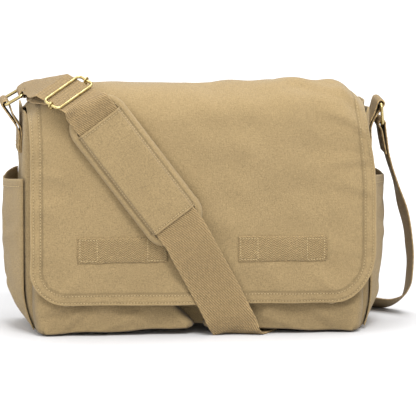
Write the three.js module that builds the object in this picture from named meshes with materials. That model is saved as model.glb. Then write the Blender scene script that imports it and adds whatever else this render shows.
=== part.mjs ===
// Canvas messenger bag lying against its own shoulder strap. Millimetres, +X right, +Y to the back, +Z up.
import * as THREE from 'three';

// ---- driving dimensions -------------------------------------------------------------------------
const GAP = 0.3;
const CANVAS = 2.4;
const WEBBING = 2.2;
const WEBBING_WIDTH = 50;

// Body
const PANEL_HALF = 186.7;
const GUSSET_IN = 187;
const GUSSET_OUT = GUSSET_IN + CANVAS;
const FRONT_Y = -48;
const BACK_Y = 70;
const FRONT_TOP = 230;
const BACK_TOP = 242;
const GUSSET_TOP = 246;
const ARCH_EDGE = 158;
const ARCH_FOOT = 168;
const ARCH_LOW = 3.4;
const ARCH_RISE = 5;

// Flap
const FLAP_HALF = 185.5;
const FLAP_CLOTH = 2.6;
const FLAP_FRONT_Y = -76;
const FLAP_BOTTOM = 35;
const FLAP_CORNER = 40;
const SHOULDER_R = 40;
const CREST_Z = 275;
const DROOP = 26;
const DROOP_FROM = 140;
const HEM_WIDTH = 12.5;
const HEM_CLOTH = 1;

// Pockets
const POCKET_IN_X = 14;
const POCKET_OUT_X = 176;
const POCKET_FACE_Y = -70;
const POCKET_BOTTOM = 5;
const POCKET_TOP = 214;
const POCKET_CORNER = 22;
const SIDE_MOUTH = 168;

// Hardware
const RING_WIRE = 2;
const RING_PITCH = 22;
const RING_Y = 5;
const RING_REACH = 28.6;
const TAB_LOOP = 3.8;
const SLIDE_WIRE = 1.8;
const SLIDE_BAR_WIRE = 1.5;

// Strap and shoulder pad
const PAD_CENTRE = new THREE.Vector3(-70, 0, 183);
const PAD_SLOPE = THREE.MathUtils.degToRad(53);
const PAD_HALF_LENGTH = 90;
const PAD_HALF_WIDTH = 33;
const PAD_CORNER = 24;
const PAD_BACK_Y = -79;
const PAD_BACKING = 1.6;
const PAD_FOAM = 4;
const PAD_TOP = 1;
const STRAP_Y = -89.2;
const COVER_HALF_LENGTH = 67.5;
const COVER_HALF_WIDTH = 28.5;

// ---- materials ----------------------------------------------------------------------------------
const CANVAS_COLOUR = 0xbaa175;
const SHADE_COLOUR = 0xa98f63;
const WEBBING_COLOUR = 0xb39868;
const BRASS_COLOUR = 0xc8b060;
const FOAM_COLOUR = 0xd8d4c8;
const HOOK_COLOUR = 0x8f7a54;

const root = new THREE.Group();
root.name = 'messenger_bag';

function vec(x, y, z) {
  return new THREE.Vector3(x, y, z);
}

function clamp01(value) {
  return Math.min(1, Math.max(0, value));
}

function smooth(value) {
  const t = clamp01(value);
  return t * t * (3 - 2 * t);
}

function range(count, make) {
  return Array.from({ length: count + 1 }, (unused, i) => make(i / count, i));
}

// Closed body through a list of equal cross-section loops. Loops are capped by pairing their two halves.
function loft(sections, closed = false) {
  const count = sections[0].length;
  const index = [];
  const spans = closed ? sections.length : sections.length - 1;
  for (let i = 0; i < spans; i += 1) {
    const a = i * count;
    const b = ((i + 1) % sections.length) * count;
    for (let j = 0; j < count; j += 1) {
      const k = (j + 1) % count;
      index.push(a + j, a + k, b + j, a + k, b + k, b + j);
    }
  }
  if (!closed) {
    const last = (sections.length - 1) * count;
    for (let j = 0; j < count / 2 - 1; j += 1) {
      const m = count - 1 - j;
      index.push(j, m, j + 1, j + 1, m, m - 1);
      index.push(last + j, last + j + 1, last + m, last + j + 1, last + m - 1, last + m);
    }
  }
  const points = sections.flat();
  const volume = signedVolume(points, index);
  if (volume < 0) {
    index.reverse();
  }
  const geometry = new THREE.BufferGeometry();
  const numbers = points.flatMap((p) => [p.x, p.y, p.z]);
  geometry.setAttribute('position', new THREE.Float32BufferAttribute(numbers, 3));
  geometry.setIndex(index);
  geometry.computeVertexNormals();
  return geometry;
}

function signedVolume(points, index) {
  let total = 0;
  for (let i = 0; i < index.length; i += 3) {
    const [a, b, c] = [points[index[i]], points[index[i + 1]], points[index[i + 2]]];
    total += a.dot(b.clone().cross(c));
  }
  return total;
}

// Sheet whose outer face is outer(u, v) and whose inner face is inner(u, v).
function sheet(columns, rows, outer, inner) {
  const sections = rows.map((v) => {
    const front = columns.map((u) => outer(u, v));
    const back = columns.map((u) => inner(u, v)).reverse();
    return front.concat(back);
  });
  return loft(sections);
}

// Flat webbing along stations of {at, across}, with an optional change to every corner.
function ribbon(stations, width, thickness, settle = (p) => p, strips = 1) {
  const sections = stations.map((station, i) => {
    const before = stations[Math.max(0, i - 1)].at;
    const after = stations[Math.min(stations.length - 1, i + 1)].at;
    const along = station.along ? station.along : after.clone().sub(before).normalize();
    const across = station.across.clone().normalize();
    const up = along.clone().cross(across).normalize();
    const side = (h) => range(strips, (t) => {
      const point = station.at.clone().addScaledVector(across, (t - 0.5) * width);
      return settle(point.addScaledVector(up, h * thickness * 0.5), h);
    });
    return side(1).concat(side(-1).reverse());
  });
  return loft(sections);
}

// Smooth stations between hand-placed ones, with the direction of each end fixed where it is given.
function stationsThrough(knots, count, firstAlong, lastAlong) {
  const path = new THREE.CatmullRomCurve3(knots.map((k) => k.at), false, 'centripetal');
  const stations = range(count, (t) => {
    const place = t * (knots.length - 1);
    const from = Math.min(Math.floor(place), knots.length - 2);
    const across = knots[from].across.clone().lerp(knots[from + 1].across, smooth(place - from));
    return { at: path.getPoint(t), across: across.normalize() };
  });
  stations[0].along = firstAlong;
  stations[count].along = lastAlong;
  return stations;
}

// Round wire along a flat path that lies in the plane with the given normal.
function wire(points, radius, planeNormal, closed) {
  const steps = 10;
  const sections = points.map((p, i) => {
    const before = points[closed ? (i + points.length - 1) % points.length : Math.max(0, i - 1)];
    const after = points[closed ? (i + 1) % points.length : Math.min(points.length - 1, i + 1)];
    const along = after.clone().sub(before).normalize();
    const aside = along.clone().cross(planeNormal).normalize();
    return range(steps - 1, (unused, j) => {
      const turn = (j / steps) * Math.PI * 2;
      const point = p.clone().addScaledVector(aside, Math.cos(turn) * radius);
      return point.addScaledVector(planeNormal, Math.sin(turn) * radius);
    });
  });
  return loft(sections, closed);
}

// Rounded rectangle about a centre, spanned by two unit directions.
function roundedLoop(centre, sideA, halfA, sideB, halfB, corner, steps) {
  const points = [];
  const quadrants = [[1, 1, 0], [-1, 1, 1], [-1, -1, 2], [1, -1, 3]];
  for (const [signA, signB, quarter] of quadrants) {
    for (let i = 0; i <= steps; i += 1) {
      const turn = (quarter + i / steps) * Math.PI * 0.5;
      const a = signA * (halfA - corner) + Math.cos(turn) * corner;
      const b = signB * (halfB - corner) + Math.sin(turn) * corner;
      points.push(centre.clone().addScaledVector(sideA, a).addScaledVector(sideB, b));
    }
  }
  return points;
}

function add(name, geometry, colour, metal = false) {
  const material = new THREE.MeshStandardMaterial({
    color: colour,
    roughness: metal ? 0.35 : 0.9,
    metalness: metal ? 1 : 0,
  });
  const mesh = new THREE.Mesh(geometry, material);
  mesh.name = name;
  root.add(mesh);
}

// ---- body: four walls and an arched base between two flat end strips ----------------------------
function archHeight(x) {
  const out = Math.abs(x);
  if (out >= ARCH_FOOT) {
    return 0;
  }
  if (out > ARCH_EDGE) {
    return ARCH_LOW * smooth((ARCH_FOOT - out) / (ARCH_FOOT - ARCH_EDGE));
  }
  return ARCH_LOW + ARCH_RISE * (1 - (out / ARCH_EDGE) ** 2);
}

function droop(x) {
  const out = clamp01((Math.abs(x) - DROOP_FROM) / (FLAP_HALF - DROOP_FROM));
  return DROOP * out ** 2.2;
}

const ARCH_SPLITS = [ARCH_EDGE, ARCH_EDGE + 2.5, ARCH_EDGE + 5, ARCH_EDGE + 7.5, ARCH_FOOT];
const INNER_X = range(20, (t) => (t * 2 - 1) * (ARCH_EDGE - 8));
const PANEL_X = [
  -PANEL_HALF, -178,
  ...ARCH_SPLITS.map((x) => -x).reverse(),
  ...INNER_X,
  ...ARCH_SPLITS,
  178, PANEL_HALF,
];

function wall(yOut, yIn, top) {
  const face = (y) => (x, v) => vec(x, y, archHeight(x) + (top(x) - archHeight(x)) * v);
  return sheet(PANEL_X, [0, 0.5, 1], face(yOut), face(yIn));
}

add('front_panel', wall(FRONT_Y, FRONT_Y + CANVAS, () => FRONT_TOP), CANVAS_COLOUR);
add('back_panel', wall(BACK_Y, BACK_Y - CANVAS, (x) => BACK_TOP - droop(x)), CANVAS_COLOUR);

const baseFront = FRONT_Y + CANVAS + GAP;
const baseBack = BACK_Y - CANVAS - GAP;
add('base_panel', sheet(
  PANEL_X,
  [baseFront, (baseFront + baseBack) / 2, baseBack],
  (x, y) => vec(x, y, archHeight(x)),
  (x, y) => vec(x, y, archHeight(x) + CANVAS),
), CANVAS_COLOUR);

function gusset(side) {
  const face = (x) => (y, z) => vec(side * x, y, z);
  return sheet([FRONT_Y, 11, BACK_Y], [0, 123, GUSSET_TOP], face(GUSSET_OUT), face(GUSSET_IN));
}

add('gusset_left', gusset(-1), CANVAS_COLOUR);
add('gusset_right', gusset(1), CANVAS_COLOUR);

// ---- flap: one profile from the front hem over the shoulder and crest to the seam on the back ----
const FRONT_RUN = CREST_Z - SHOULDER_R - FLAP_BOTTOM;
const SHOULDER_RUN = SHOULDER_R * Math.PI * 0.5;
const SHOULDER_Y = FLAP_FRONT_Y + SHOULDER_R;
const CREST_S = FRONT_RUN + SHOULDER_RUN - SHOULDER_Y;
const REAR_R = 32;
const REAR_OUT_Y = BACK_Y + GAP + FLAP_CLOTH;
const REAR_FLAT = REAR_OUT_Y - REAR_R;
const REAR_TURN = REAR_R * Math.PI * 0.5;
const REAR_DROP = 18;
const REAR_END = CREST_S + REAR_FLAT + REAR_TURN + REAR_DROP;

// Profile point and outward normal at arc length s from the front hem.
function flapProfile(s) {
  if (s <= FRONT_RUN) {
    return [FLAP_FRONT_Y, FLAP_BOTTOM + s, -1, 0];
  }
  if (s <= FRONT_RUN + SHOULDER_RUN) {
    const turn = (s - FRONT_RUN) / SHOULDER_R;
    const [c, n] = [Math.cos(turn), Math.sin(turn)];
    return [SHOULDER_Y - SHOULDER_R * c, CREST_Z - SHOULDER_R + SHOULDER_R * n, -c, n];
  }
  if (s <= CREST_S + REAR_FLAT) {
    return [s - CREST_S, CREST_Z, 0, 1];
  }
  const turn = (s - CREST_S - REAR_FLAT) / REAR_R;
  if (turn <= Math.PI * 0.5) {
    const [c, n] = [Math.cos(turn), Math.sin(turn)];
    return [REAR_FLAT + REAR_R * n, CREST_Z - REAR_R + REAR_R * c, n, c];
  }
  return [REAR_OUT_Y, CREST_Z - REAR_R - (s - CREST_S - REAR_FLAT - REAR_TURN), 1, 0];
}

// Point on the flap at width x and arc length s, lifted off its outer face. Top corners hang down.
function flapPoint(x, s, lift) {
  const [y, z, ny, nz] = flapProfile(s);
  const hang = s > CREST_S ? 1 : smooth((z - 150) / 100);
  return vec(x, y + ny * lift, z + nz * lift - droop(x) * hang);
}

function flapHalfWidth(s) {
  if (s >= FLAP_CORNER) {
    return FLAP_HALF;
  }
  return FLAP_HALF - FLAP_CORNER + Math.sqrt(FLAP_CORNER ** 2 - (FLAP_CORNER - s) ** 2);
}

const FLAP_U = [
  -1, -0.98, -0.95, -0.92, -0.88, -0.84, -0.8, -0.75, -0.5, -0.25, 0,
  0.25, 0.5, 0.75, 0.8, 0.84, 0.88, 0.92, 0.95, 0.98, 1,
];
const CORNER_ROWS = range(6, (t) => FLAP_CORNER * (1 - Math.cos(t * Math.PI * 0.5)));
const FRONT_ROWS = [75, 115, 130, 145, 160, 175, 190];
const SHOULDER_ROWS = range(10, (t) => FRONT_RUN + SHOULDER_RUN * t);
const REAR_ROWS = [
  CREST_S + GAP,
  CREST_S + REAR_FLAT * 0.5,
  ...range(8, (t) => CREST_S + REAR_FLAT + REAR_TURN * t),
  REAR_END,
];

function flapSheet(rows) {
  const face = (lift) => (u, s) => flapPoint(u * flapHalfWidth(s), s, lift);
  return sheet(FLAP_U, rows, face(0), face(-FLAP_CLOTH));
}

const FLAP_ROWS = [...CORNER_ROWS, ...FRONT_ROWS, ...SHOULDER_ROWS, CREST_S];
add('flap_panel', flapSheet(FLAP_ROWS), CANVAS_COLOUR);
add('flap_rear', flapSheet(REAR_ROWS), CANVAS_COLOUR);

// Folded hem round the two sides and the front edge of the flap.
function hemStations() {
  const stations = [];
  const sideRows = [CREST_S - 1, ...SHOULDER_ROWS.slice().reverse(), ...FRONT_ROWS.slice().reverse()];
  for (const s of sideRows) {
    stations.push([-FLAP_HALF, s, 1, 0]);
  }
  for (const [side, from] of [[-1, 0], [1, 1]]) {
    for (let i = 0; i <= 8; i += 1) {
      const turn = Math.abs(from - i / 8) * Math.PI * 0.5;
      const x = side * (FLAP_HALF - FLAP_CORNER + FLAP_CORNER * Math.cos(turn));
      const s = FLAP_CORNER * (1 - Math.sin(turn));
      stations.push([x, s, -side * Math.cos(turn), Math.sin(turn)]);
    }
  }
  for (const s of sideRows.slice().reverse()) {
    stations.push([FLAP_HALF, s, -1, 0]);
  }
  return stations;
}

const hem = hemStations().map(([x, s, inX, inS]) => {
  const edge = 0.4;
  const corner = (depth, lift) => flapPoint(x + inX * depth, s + inS * depth, lift);
  return [
    corner(edge, GAP), corner(HEM_WIDTH * 0.5, GAP), corner(HEM_WIDTH, GAP),
    corner(HEM_WIDTH, GAP + HEM_CLOTH),
    corner(HEM_WIDTH * 0.5, GAP + HEM_CLOTH),
    corner(edge, GAP + HEM_CLOTH),
  ];
});
add('flap_hem', loft(hem), CANVAS_COLOUR);

// Patch that lies on the flap or on a pocket: a plain rectangle between two depths.
function patch(xLow, xHigh, zLow, zHigh, yFront, yBack) {
  const face = (y) => (x, z) => vec(x, y, z);
  return sheet([xLow, (xLow + xHigh) / 2, xHigh], [zLow, zHigh], face(yFront), face(yBack));
}

const STRIP_LOW = 81;
const STRIP_HIGH = 108;
const STRIP_CLOTH = 1.6;
const HOOK_CLOTH = 1.3;
const LOOP_CLOTH = 1.1;
const LOOP_MARGIN = 6;
const STRIPS = { left: [-133, -36], right: [42, 138] };
for (const [name, [xLow, xHigh]] of Object.entries(STRIPS)) {
  const front = FLAP_FRONT_Y - GAP;
  const strip = patch(xLow, xHigh, STRIP_LOW, STRIP_HIGH, front - STRIP_CLOTH, front);
  add(`flap_webbing_${name}`, strip, WEBBING_COLOUR);
  const hookFront = FLAP_FRONT_Y + FLAP_CLOTH + GAP;
  const hooks = patch(xLow, xHigh, STRIP_LOW, STRIP_HIGH, hookFront, hookFront + HOOK_CLOTH);
  add(`flap_hook_${name}`, hooks, HOOK_COLOUR);
  const loopFront = POCKET_FACE_Y - GAP - LOOP_CLOTH;
  const [loopLow, loopHigh] = [xLow + LOOP_MARGIN, xHigh - LOOP_MARGIN];
  add(
    `pocket_loop_${name}`,
    patch(
      loopLow, loopHigh,
      STRIP_LOW - LOOP_MARGIN, STRIP_HIGH + LOOP_MARGIN,
      loopFront, POCKET_FACE_Y - GAP,
    ),
    HOOK_COLOUR,
  );
}

// ---- front pockets: a face on a folded side band ------------------------------------------------
const POCKET_CENTRE_X = (POCKET_IN_X + POCKET_OUT_X) / 2;
const BAND_CLOTH = 2;

function pocketEdge(side, inset) {
  const centre = side * POCKET_CENTRE_X;
  const half = (POCKET_OUT_X - POCKET_IN_X) / 2 - inset;
  const low = POCKET_BOTTOM + inset;
  const corner = POCKET_CORNER - inset;
  const path = [[centre - half, POCKET_TOP], [centre - half, (POCKET_TOP + low) / 2]];
  for (const turn of range(8, (t) => t * Math.PI * 0.5)) {
    path.push([centre - half + corner * (1 - Math.cos(turn)), low + corner * (1 - Math.sin(turn))]);
  }
  const mirrored = path.slice().reverse().map(([x, z]) => [2 * centre - x, z]);
  return path.concat(mirrored);
}

for (const [name, side] of [['left', -1], ['right', 1]]) {
  const bandFront = POCKET_FACE_Y + CANVAS + GAP;
  const bandBack = FRONT_Y - GAP;
  const outer = pocketEdge(side, 0);
  const inner = pocketEdge(side, BAND_CLOTH);
  const band = outer.map(([x, z], i) => [
    vec(x, bandFront, z), vec(x, bandBack, z),
    vec(inner[i][0], bandBack, inner[i][1]), vec(inner[i][0], bandFront, inner[i][1]),
  ]);
  add(`front_pocket_${name}_band`, loft(band), SHADE_COLOUR);
  const half = outer.length / 2;
  const faceRows = outer.slice(0, half).reverse().map(([x, z]) => [x, 2 * side * POCKET_CENTRE_X - x, z]);
  const edgeAt = (y) => (u, row) => vec(row[0] + (row[1] - row[0]) * u, y, row[2]);
  const faceSteps = [0, 0.25, 0.5, 0.75, 1];
  const face = sheet(faceSteps, faceRows, edgeAt(POCKET_FACE_Y), edgeAt(POCKET_FACE_Y + CANVAS));
  add(`front_pocket_${name}_face`, face, CANVAS_COLOUR);
}

// ---- side pockets: pouches sewn to the gussets, open at the top ---------------------------------
function sidePocket(side, belly) {
  const cloth = 1.8;
  const columns = range(16, (t) => t);
  const rows = [0, 0.04, 0.1, 0.2, 0.35, 0.5, 0.65, 0.8, 0.92, 1];
  const face = (lift) => (u, v) => {
    const round = Math.sin(Math.PI * u) ** 0.8;
    const swell = belly * round * (1 - (1 - v) ** 4) * (1 - 0.12 * v);
    const mouthSag = 4 * Math.sin(Math.PI * u) * v;
    return vec(side * (GUSSET_OUT + GAP + swell + lift), -44 + 110 * u, 4 + (SIDE_MOUTH - 4) * v - mouthSag);
  };
  return sheet(columns, rows, face(cloth), face(0));
}

add('side_pocket_left', sidePocket(-1, 18), CANVAS_COLOUR);
add('side_pocket_right', sidePocket(1, 15), CANVAS_COLOUR);

// ---- strap rings and their tabs -----------------------------------------------------------------
const RIGHT_BAR = vec(203, RING_Y, 244);
const RIGHT_DOWN = vec(0.06, 0, -1).normalize();
const LEFT_BAR = vec(-207.6, RING_Y, 249);
const LEFT_IN = vec(19, 0, 11).normalize();
const ACROSS = vec(0, 1, 0);

function ring(bar, towards) {
  const centre = bar.clone().addScaledVector(towards, RING_PITCH / 2);
  const normal = towards.clone().cross(ACROSS).normalize();
  const loop = roundedLoop(centre, towards, RING_PITCH / 2, ACROSS, RING_REACH, 4, 4);
  return wire(loop, RING_WIRE, normal, true);
}

add('ring_left', ring(LEFT_BAR, LEFT_IN), BRASS_COLOUR, true);
add('ring_right', ring(RIGHT_BAR, RIGHT_DOWN), BRASS_COLOUR, true);

// Webbing that climbs the gusset, turns round the ring's bar and comes down outside itself.
function ringTab(side, bar) {
  const inner = GUSSET_OUT + GAP + WEBBING / 2;
  const outer = inner + WEBBING + GAP;
  const barX = Math.abs(bar.x);
  const path = [[inner, 197], [inner, 212], [inner, 224], [inner + (barX - inner) * 0.35, 236]];
  const lean = Math.atan2(bar.z - 224, barX - inner - TAB_LOOP) + Math.PI * 0.5;
  for (const t of range(10, (part) => part)) {
    const turn = lean - t * Math.PI * 1.08;
    path.push([barX + TAB_LOOP * Math.cos(turn), bar.z + TAB_LOOP * Math.sin(turn)]);
  }
  path.push([outer + (barX - inner) * 0.42, 232]);
  path.push([outer, 221], [outer, 210], [outer, 197]);
  const stations = path.map(([x, z]) => ({ at: vec(side * x, RING_Y, z), across: ACROSS }));
  return ribbon(stations, WEBBING_WIDTH, WEBBING - 0.2);
}

add('ring_tab_left', ringTab(-1, LEFT_BAR), WEBBING_COLOUR);
add('ring_tab_right', ringTab(1, RIGHT_BAR), WEBBING_COLOUR);

// ---- slide buckle: a wire frame over the webbing and a bar under it ------------------------------
const SLIDE_CENTRE = vec(-142, -75.5, 268.5);
const SLIDE_ALONG = vec(0.71, -0.6, -0.375).normalize();
const SLIDE_ACROSS = vec(0.7, 0.585, 0.39);
SLIDE_ACROSS.addScaledVector(SLIDE_ALONG, -SLIDE_ACROSS.dot(SLIDE_ALONG)).normalize();
const SLIDE_UP = SLIDE_ALONG.clone().cross(SLIDE_ACROSS).normalize();
const SLIDE_HALF_LENGTH = 12;
const frameLift = WEBBING / 2 + GAP + SLIDE_WIRE;
const frameCentre = SLIDE_CENTRE.clone().addScaledVector(SLIDE_UP, frameLift);
const frameLoop = roundedLoop(frameCentre, SLIDE_ALONG, SLIDE_HALF_LENGTH, SLIDE_ACROSS, RING_REACH, 5, 4);
add('slide_frame', wire(frameLoop, SLIDE_WIRE, SLIDE_UP, true), BRASS_COLOUR, true);

const barDrop = -(WEBBING / 2 + GAP + SLIDE_BAR_WIRE);
const barTop = frameLift - SLIDE_WIRE - GAP;
const barPath = [[-1, barTop], [-1, barDrop + 1.5], [-0.985, barDrop + 0.4], [-0.95, barDrop]];
const barPoints = [...barPath, [0, barDrop], ...barPath.slice().reverse().map(([a, h]) => [-a, h])];
const slideBar = barPoints.map(([a, h]) => {
  const point = SLIDE_CENTRE.clone().addScaledVector(SLIDE_ACROSS, a * RING_REACH);
  return point.addScaledVector(SLIDE_UP, h);
});
add('slide_bar', wire(slideBar, SLIDE_BAR_WIRE, SLIDE_ALONG, false), BRASS_COLOUR, true);

// ---- shoulder strap -----------------------------------------------------------------------------
const PAD_ALONG = vec(Math.cos(PAD_SLOPE), 0, -Math.sin(PAD_SLOPE));
const PAD_ACROSS = vec(Math.sin(PAD_SLOPE), 0, Math.cos(PAD_SLOPE));

function onPad(along, across, y) {
  const point = PAD_CENTRE.clone().addScaledVector(PAD_ALONG, along).addScaledVector(PAD_ACROSS, across);
  return point.setY(y);
}

// Below the pad the webbing runs a little steeper, to the bottom edge of the bag.
const RUN_SLOPE = THREE.MathUtils.degToRad(61.5);
const RUN_ALONG = vec(Math.cos(RUN_SLOPE), 0, -Math.sin(RUN_SLOPE));
const RUN_ACROSS = vec(Math.sin(RUN_SLOPE), 0, Math.cos(RUN_SLOPE));
const RUN_LENGTH = 78;

function onFlapRun(along, y) {
  return onPad(88, 0, y).addScaledVector(RUN_ALONG, along);
}

function onSlide(along) {
  return SLIDE_CENTRE.clone().addScaledVector(SLIDE_ALONG, along);
}

// Front stretch: straight through the buckle, straight under the pad cover, then down the flap.
const frontKnots = [
  ...[-24, -12, 0, 12, 17].map((d) => ({ at: onSlide(d), across: SLIDE_ACROSS })),
  { at: onPad(-86, 0, STRAP_Y - 3.6), across: PAD_ACROSS },
  ...[-76, -40, 0, 40, 88].map((d) => ({ at: onPad(d, 0, STRAP_Y), across: PAD_ACROSS })),
  { at: onFlapRun(12, STRAP_Y), across: RUN_ACROSS },
  { at: onFlapRun(28, -88.2), across: RUN_ACROSS },
  { at: onFlapRun(56, -82.5), across: RUN_ACROSS },
  { at: onFlapRun(RUN_LENGTH, -80), across: RUN_ACROSS },
];
const frontStations = stationsThrough(frontKnots, 84, SLIDE_ALONG, RUN_ALONG);
add('strap_front', ribbon(frontStations, WEBBING_WIDTH, WEBBING), WEBBING_COLOUR);

// Upper left stretch: from the ring over the flap's drooping corner to the buckle.
function flapTopAt(x, y) {
  if (Math.abs(x) > FLAP_HALF + 1 || y < FLAP_FRONT_Y - 1) {
    return -Infinity;
  }
  const over = Math.min(0, y - SHOULDER_Y);
  const fall = SHOULDER_R - Math.sqrt(Math.max(0, SHOULDER_R ** 2 - over ** 2));
  return CREST_Z - fall - droop(Math.min(Math.abs(x), FLAP_HALF));
}

function layOnFlap(clearance) {
  return (point, side) => {
    const floor = flapTopAt(point.x, point.y) + clearance + (side > 0 ? WEBBING + 0.4 : 0);
    return point.setZ(Math.max(point.z, floor));
  };
}

const ringInner = LEFT_BAR.clone().addScaledVector(LEFT_IN, RING_PITCH);
function aroundRing(degrees) {
  const turn = THREE.MathUtils.degToRad(degrees);
  const offset = vec(TAB_LOOP * Math.cos(turn), 0, TAB_LOOP * Math.sin(turn));
  return { at: ringInner.clone().add(offset), across: ACROSS };
}

const upperKnots = [
  ...[258, 230, 200, 170, 140].map(aroundRing),
  { at: vec(-187, RING_Y - 3, 269), across: vec(0.05, 1, 0.02) },
  { at: vec(-179, -12, 275), across: vec(0.35, 0.93, 0.12) },
  { at: vec(-169, -38, 277), across: vec(0.58, 0.78, 0.25) },
  { at: onSlide(-24.8), across: SLIDE_ACROSS },
];
const upperStations = stationsThrough(upperKnots, 44, undefined, SLIDE_ALONG);
const upper = ribbon(upperStations, WEBBING_WIDTH, WEBBING, layOnFlap(5), 8);
add('strap_left_upper', upper, WEBBING_COLOUR);

const lowerKnots = [
  { at: ringInner.clone().add(vec(0.8, 0, -TAB_LOOP - 0.3)), across: ACROSS },
  { at: vec(-184, RING_Y - 2, 257), across: vec(0.05, 1, 0) },
  { at: vec(-177, -12, 260), across: vec(0.3, 0.93, 0.2) },
  { at: vec(-165, -40, 264), across: vec(0.55, 0.78, 0.36) },
  { at: onSlide(-10).addScaledVector(SLIDE_UP, -4), across: SLIDE_ACROSS },
];
const lower = ribbon(stationsThrough(lowerKnots, 30), WEBBING_WIDTH, WEBBING - 0.4, layOnFlap(1.9), 8);
add('strap_left_lower', lower, WEBBING_COLOUR);

// Under the bag: over the front edge, flat on the floor beneath the arch, and out behind.
const FLOOR_ACROSS = vec(0.87, -0.5, 0);
const RISE_ALONG = vec(0.02, -0.72, 0.69).normalize();
const BACK = vec(0, -1, 0);
const riseEnd = vec(240, 38, 62);

function layOnFloor(point, side) {
  return point.setZ(Math.max(point.z, side > 0 ? 0 : WEBBING));
}

const underKnots = [
  { at: onFlapRun(RUN_LENGTH + 0.6, -80), across: RUN_ACROSS },
  { at: vec(28, -79.5, 28), across: vec(0.87, 0, 0.48) },
  { at: vec(37, -77, 11), across: vec(0.87, -0.15, 0.38) },
  { at: vec(42, -70, 3), across: vec(0.87, -0.38, 0.1) },
  { at: vec(49, -60, 1.1), across: FLOOR_ACROSS },
  { at: vec(83, 0, 1.1), across: FLOOR_ACROSS },
  { at: vec(118, 62, 1.1), across: FLOOR_ACROSS },
  { at: vec(129, 80, 1.2), across: FLOOR_ACROSS },
  { at: vec(146, 98, 2.5), across: vec(0.84, -0.54, 0.05) },
  { at: vec(170, 109, 6), across: vec(0.55, -0.78, 0.3) },
  { at: vec(198, 104, 12), across: vec(0.2, -0.8, 0.5) },
  { at: vec(222, 84, 18), across: vec(0.02, -0.85, 0.5) },
  { at: vec(236, 60, 34), across: vec(0, -0.92, 0.35) },
  { at: riseEnd, across: BACK },
];
const underStations = stationsThrough(underKnots, 78, RUN_ALONG, RISE_ALONG);
add('strap_under', ribbon(underStations, WEBBING_WIDTH, WEBBING, layOnFloor, 2), WEBBING_COLOUR);

// Right stretch: up beside the bag to the right ring.
const TOP_ALONG = vec(-0.28, 0, 0.96).normalize();
const rightTop = vec(216.5, RING_Y, 176);
const rightKnots = [
  { at: riseEnd.clone().addScaledVector(RISE_ALONG, 0.6), across: BACK },
  { at: vec(239, 24, 92), across: BACK },
  { at: vec(233, 13, 124), across: BACK },
  { at: vec(223.5, 7, 156), across: BACK },
  { at: rightTop, across: BACK },
];
const rightStations = stationsThrough(rightKnots, 24, RISE_ALONG, TOP_ALONG);
add('strap_right_lower', ribbon(rightStations, WEBBING_WIDTH, WEBBING), WEBBING_COLOUR);

const rightInner = RIGHT_BAR.clone().addScaledVector(RIGHT_DOWN, RING_PITCH);
const rightLoop = [-20, 10, 40, 70, 100, 130, 160, 190].map((degrees) => {
  const turn = THREE.MathUtils.degToRad(degrees);
  return vec(rightInner.x + TAB_LOOP * Math.cos(turn), RING_Y, rightInner.z + TAB_LOOP * Math.sin(turn));
});
const rightPath = [
  rightTop.clone().addScaledVector(TOP_ALONG, 0.6),
  vec(213, RING_Y, 192),
  vec(209.6, RING_Y, 208),
  ...rightLoop,
  vec(203.4, RING_Y, 214),
  vec(206.6, RING_Y, 204),
  vec(209.6, RING_Y, 192),
  vec(211, RING_Y, 186),
];
const rightUpper = stationsThrough(rightPath.map((at) => ({ at, across: BACK })), 60, TOP_ALONG);
add('strap_right_upper', ribbon(rightUpper, WEBBING_WIDTH, WEBBING - 0.2), WEBBING_COLOUR);

// ---- shoulder pad -------------------------------------------------------------------------------
function padHalfWidth(along) {
  const over = Math.abs(along) - (PAD_HALF_LENGTH - PAD_CORNER);
  if (over <= 0) {
    return PAD_HALF_WIDTH;
  }
  return PAD_HALF_WIDTH - PAD_CORNER + Math.sqrt(Math.max(0, PAD_CORNER ** 2 - over ** 2));
}

const PAD_END = range(6, (t) => PAD_HALF_LENGTH - PAD_CORNER + PAD_CORNER * Math.sin(t * Math.PI * 0.5));
const PAD_ROWS = [...PAD_END.map((a) => -a).reverse(), 0, ...PAD_END];

function padSlab(yFront, yBack) {
  const face = (y) => (u, along) => onPad(along, u * padHalfWidth(along), y);
  return sheet([-1, -0.5, 0, 0.5, 1], PAD_ROWS, face(yFront), face(yBack));
}

const foamBack = PAD_BACK_Y - PAD_BACKING - GAP;
const topBack = foamBack - PAD_FOAM - GAP;
const padFront = topBack - PAD_TOP;
add('pad_backing', padSlab(PAD_BACK_Y - PAD_BACKING, PAD_BACK_Y), SHADE_COLOUR);
add('pad_foam', padSlab(foamBack - PAD_FOAM, foamBack), FOAM_COLOUR);
add('pad_top', padSlab(padFront, topBack), CANVAS_COLOUR);

// Binding: a folded tape round the pad's edge, closed on itself.
const edgeCentre = onPad(0, 0, 0);
const edgeSteps = 8;
const shape = (out) => roundedLoop(
  edgeCentre, PAD_ALONG, PAD_HALF_LENGTH + out, PAD_ACROSS, PAD_HALF_WIDTH + out, PAD_CORNER + out, edgeSteps,
);
const tape = 0.8;
const [tapeIn, tapeFit, tapeOut] = [shape(-3.6), shape(GAP), shape(GAP + tape)];
const binding = tapeFit.map((unused, i) => {
  const at = (loop, y) => loop[i].clone().setY(y);
  const [front, back] = [padFront - GAP, PAD_BACK_Y + GAP];
  return [
    at(tapeIn, front - tape), at(tapeOut, front - tape), at(tapeOut, back + tape), at(tapeIn, back + tape),
    at(tapeIn, back), at(tapeFit, back), at(tapeFit, front), at(tapeIn, front),
  ];
});
add('pad_binding', loft(binding, true), CANVAS_COLOUR);

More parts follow.
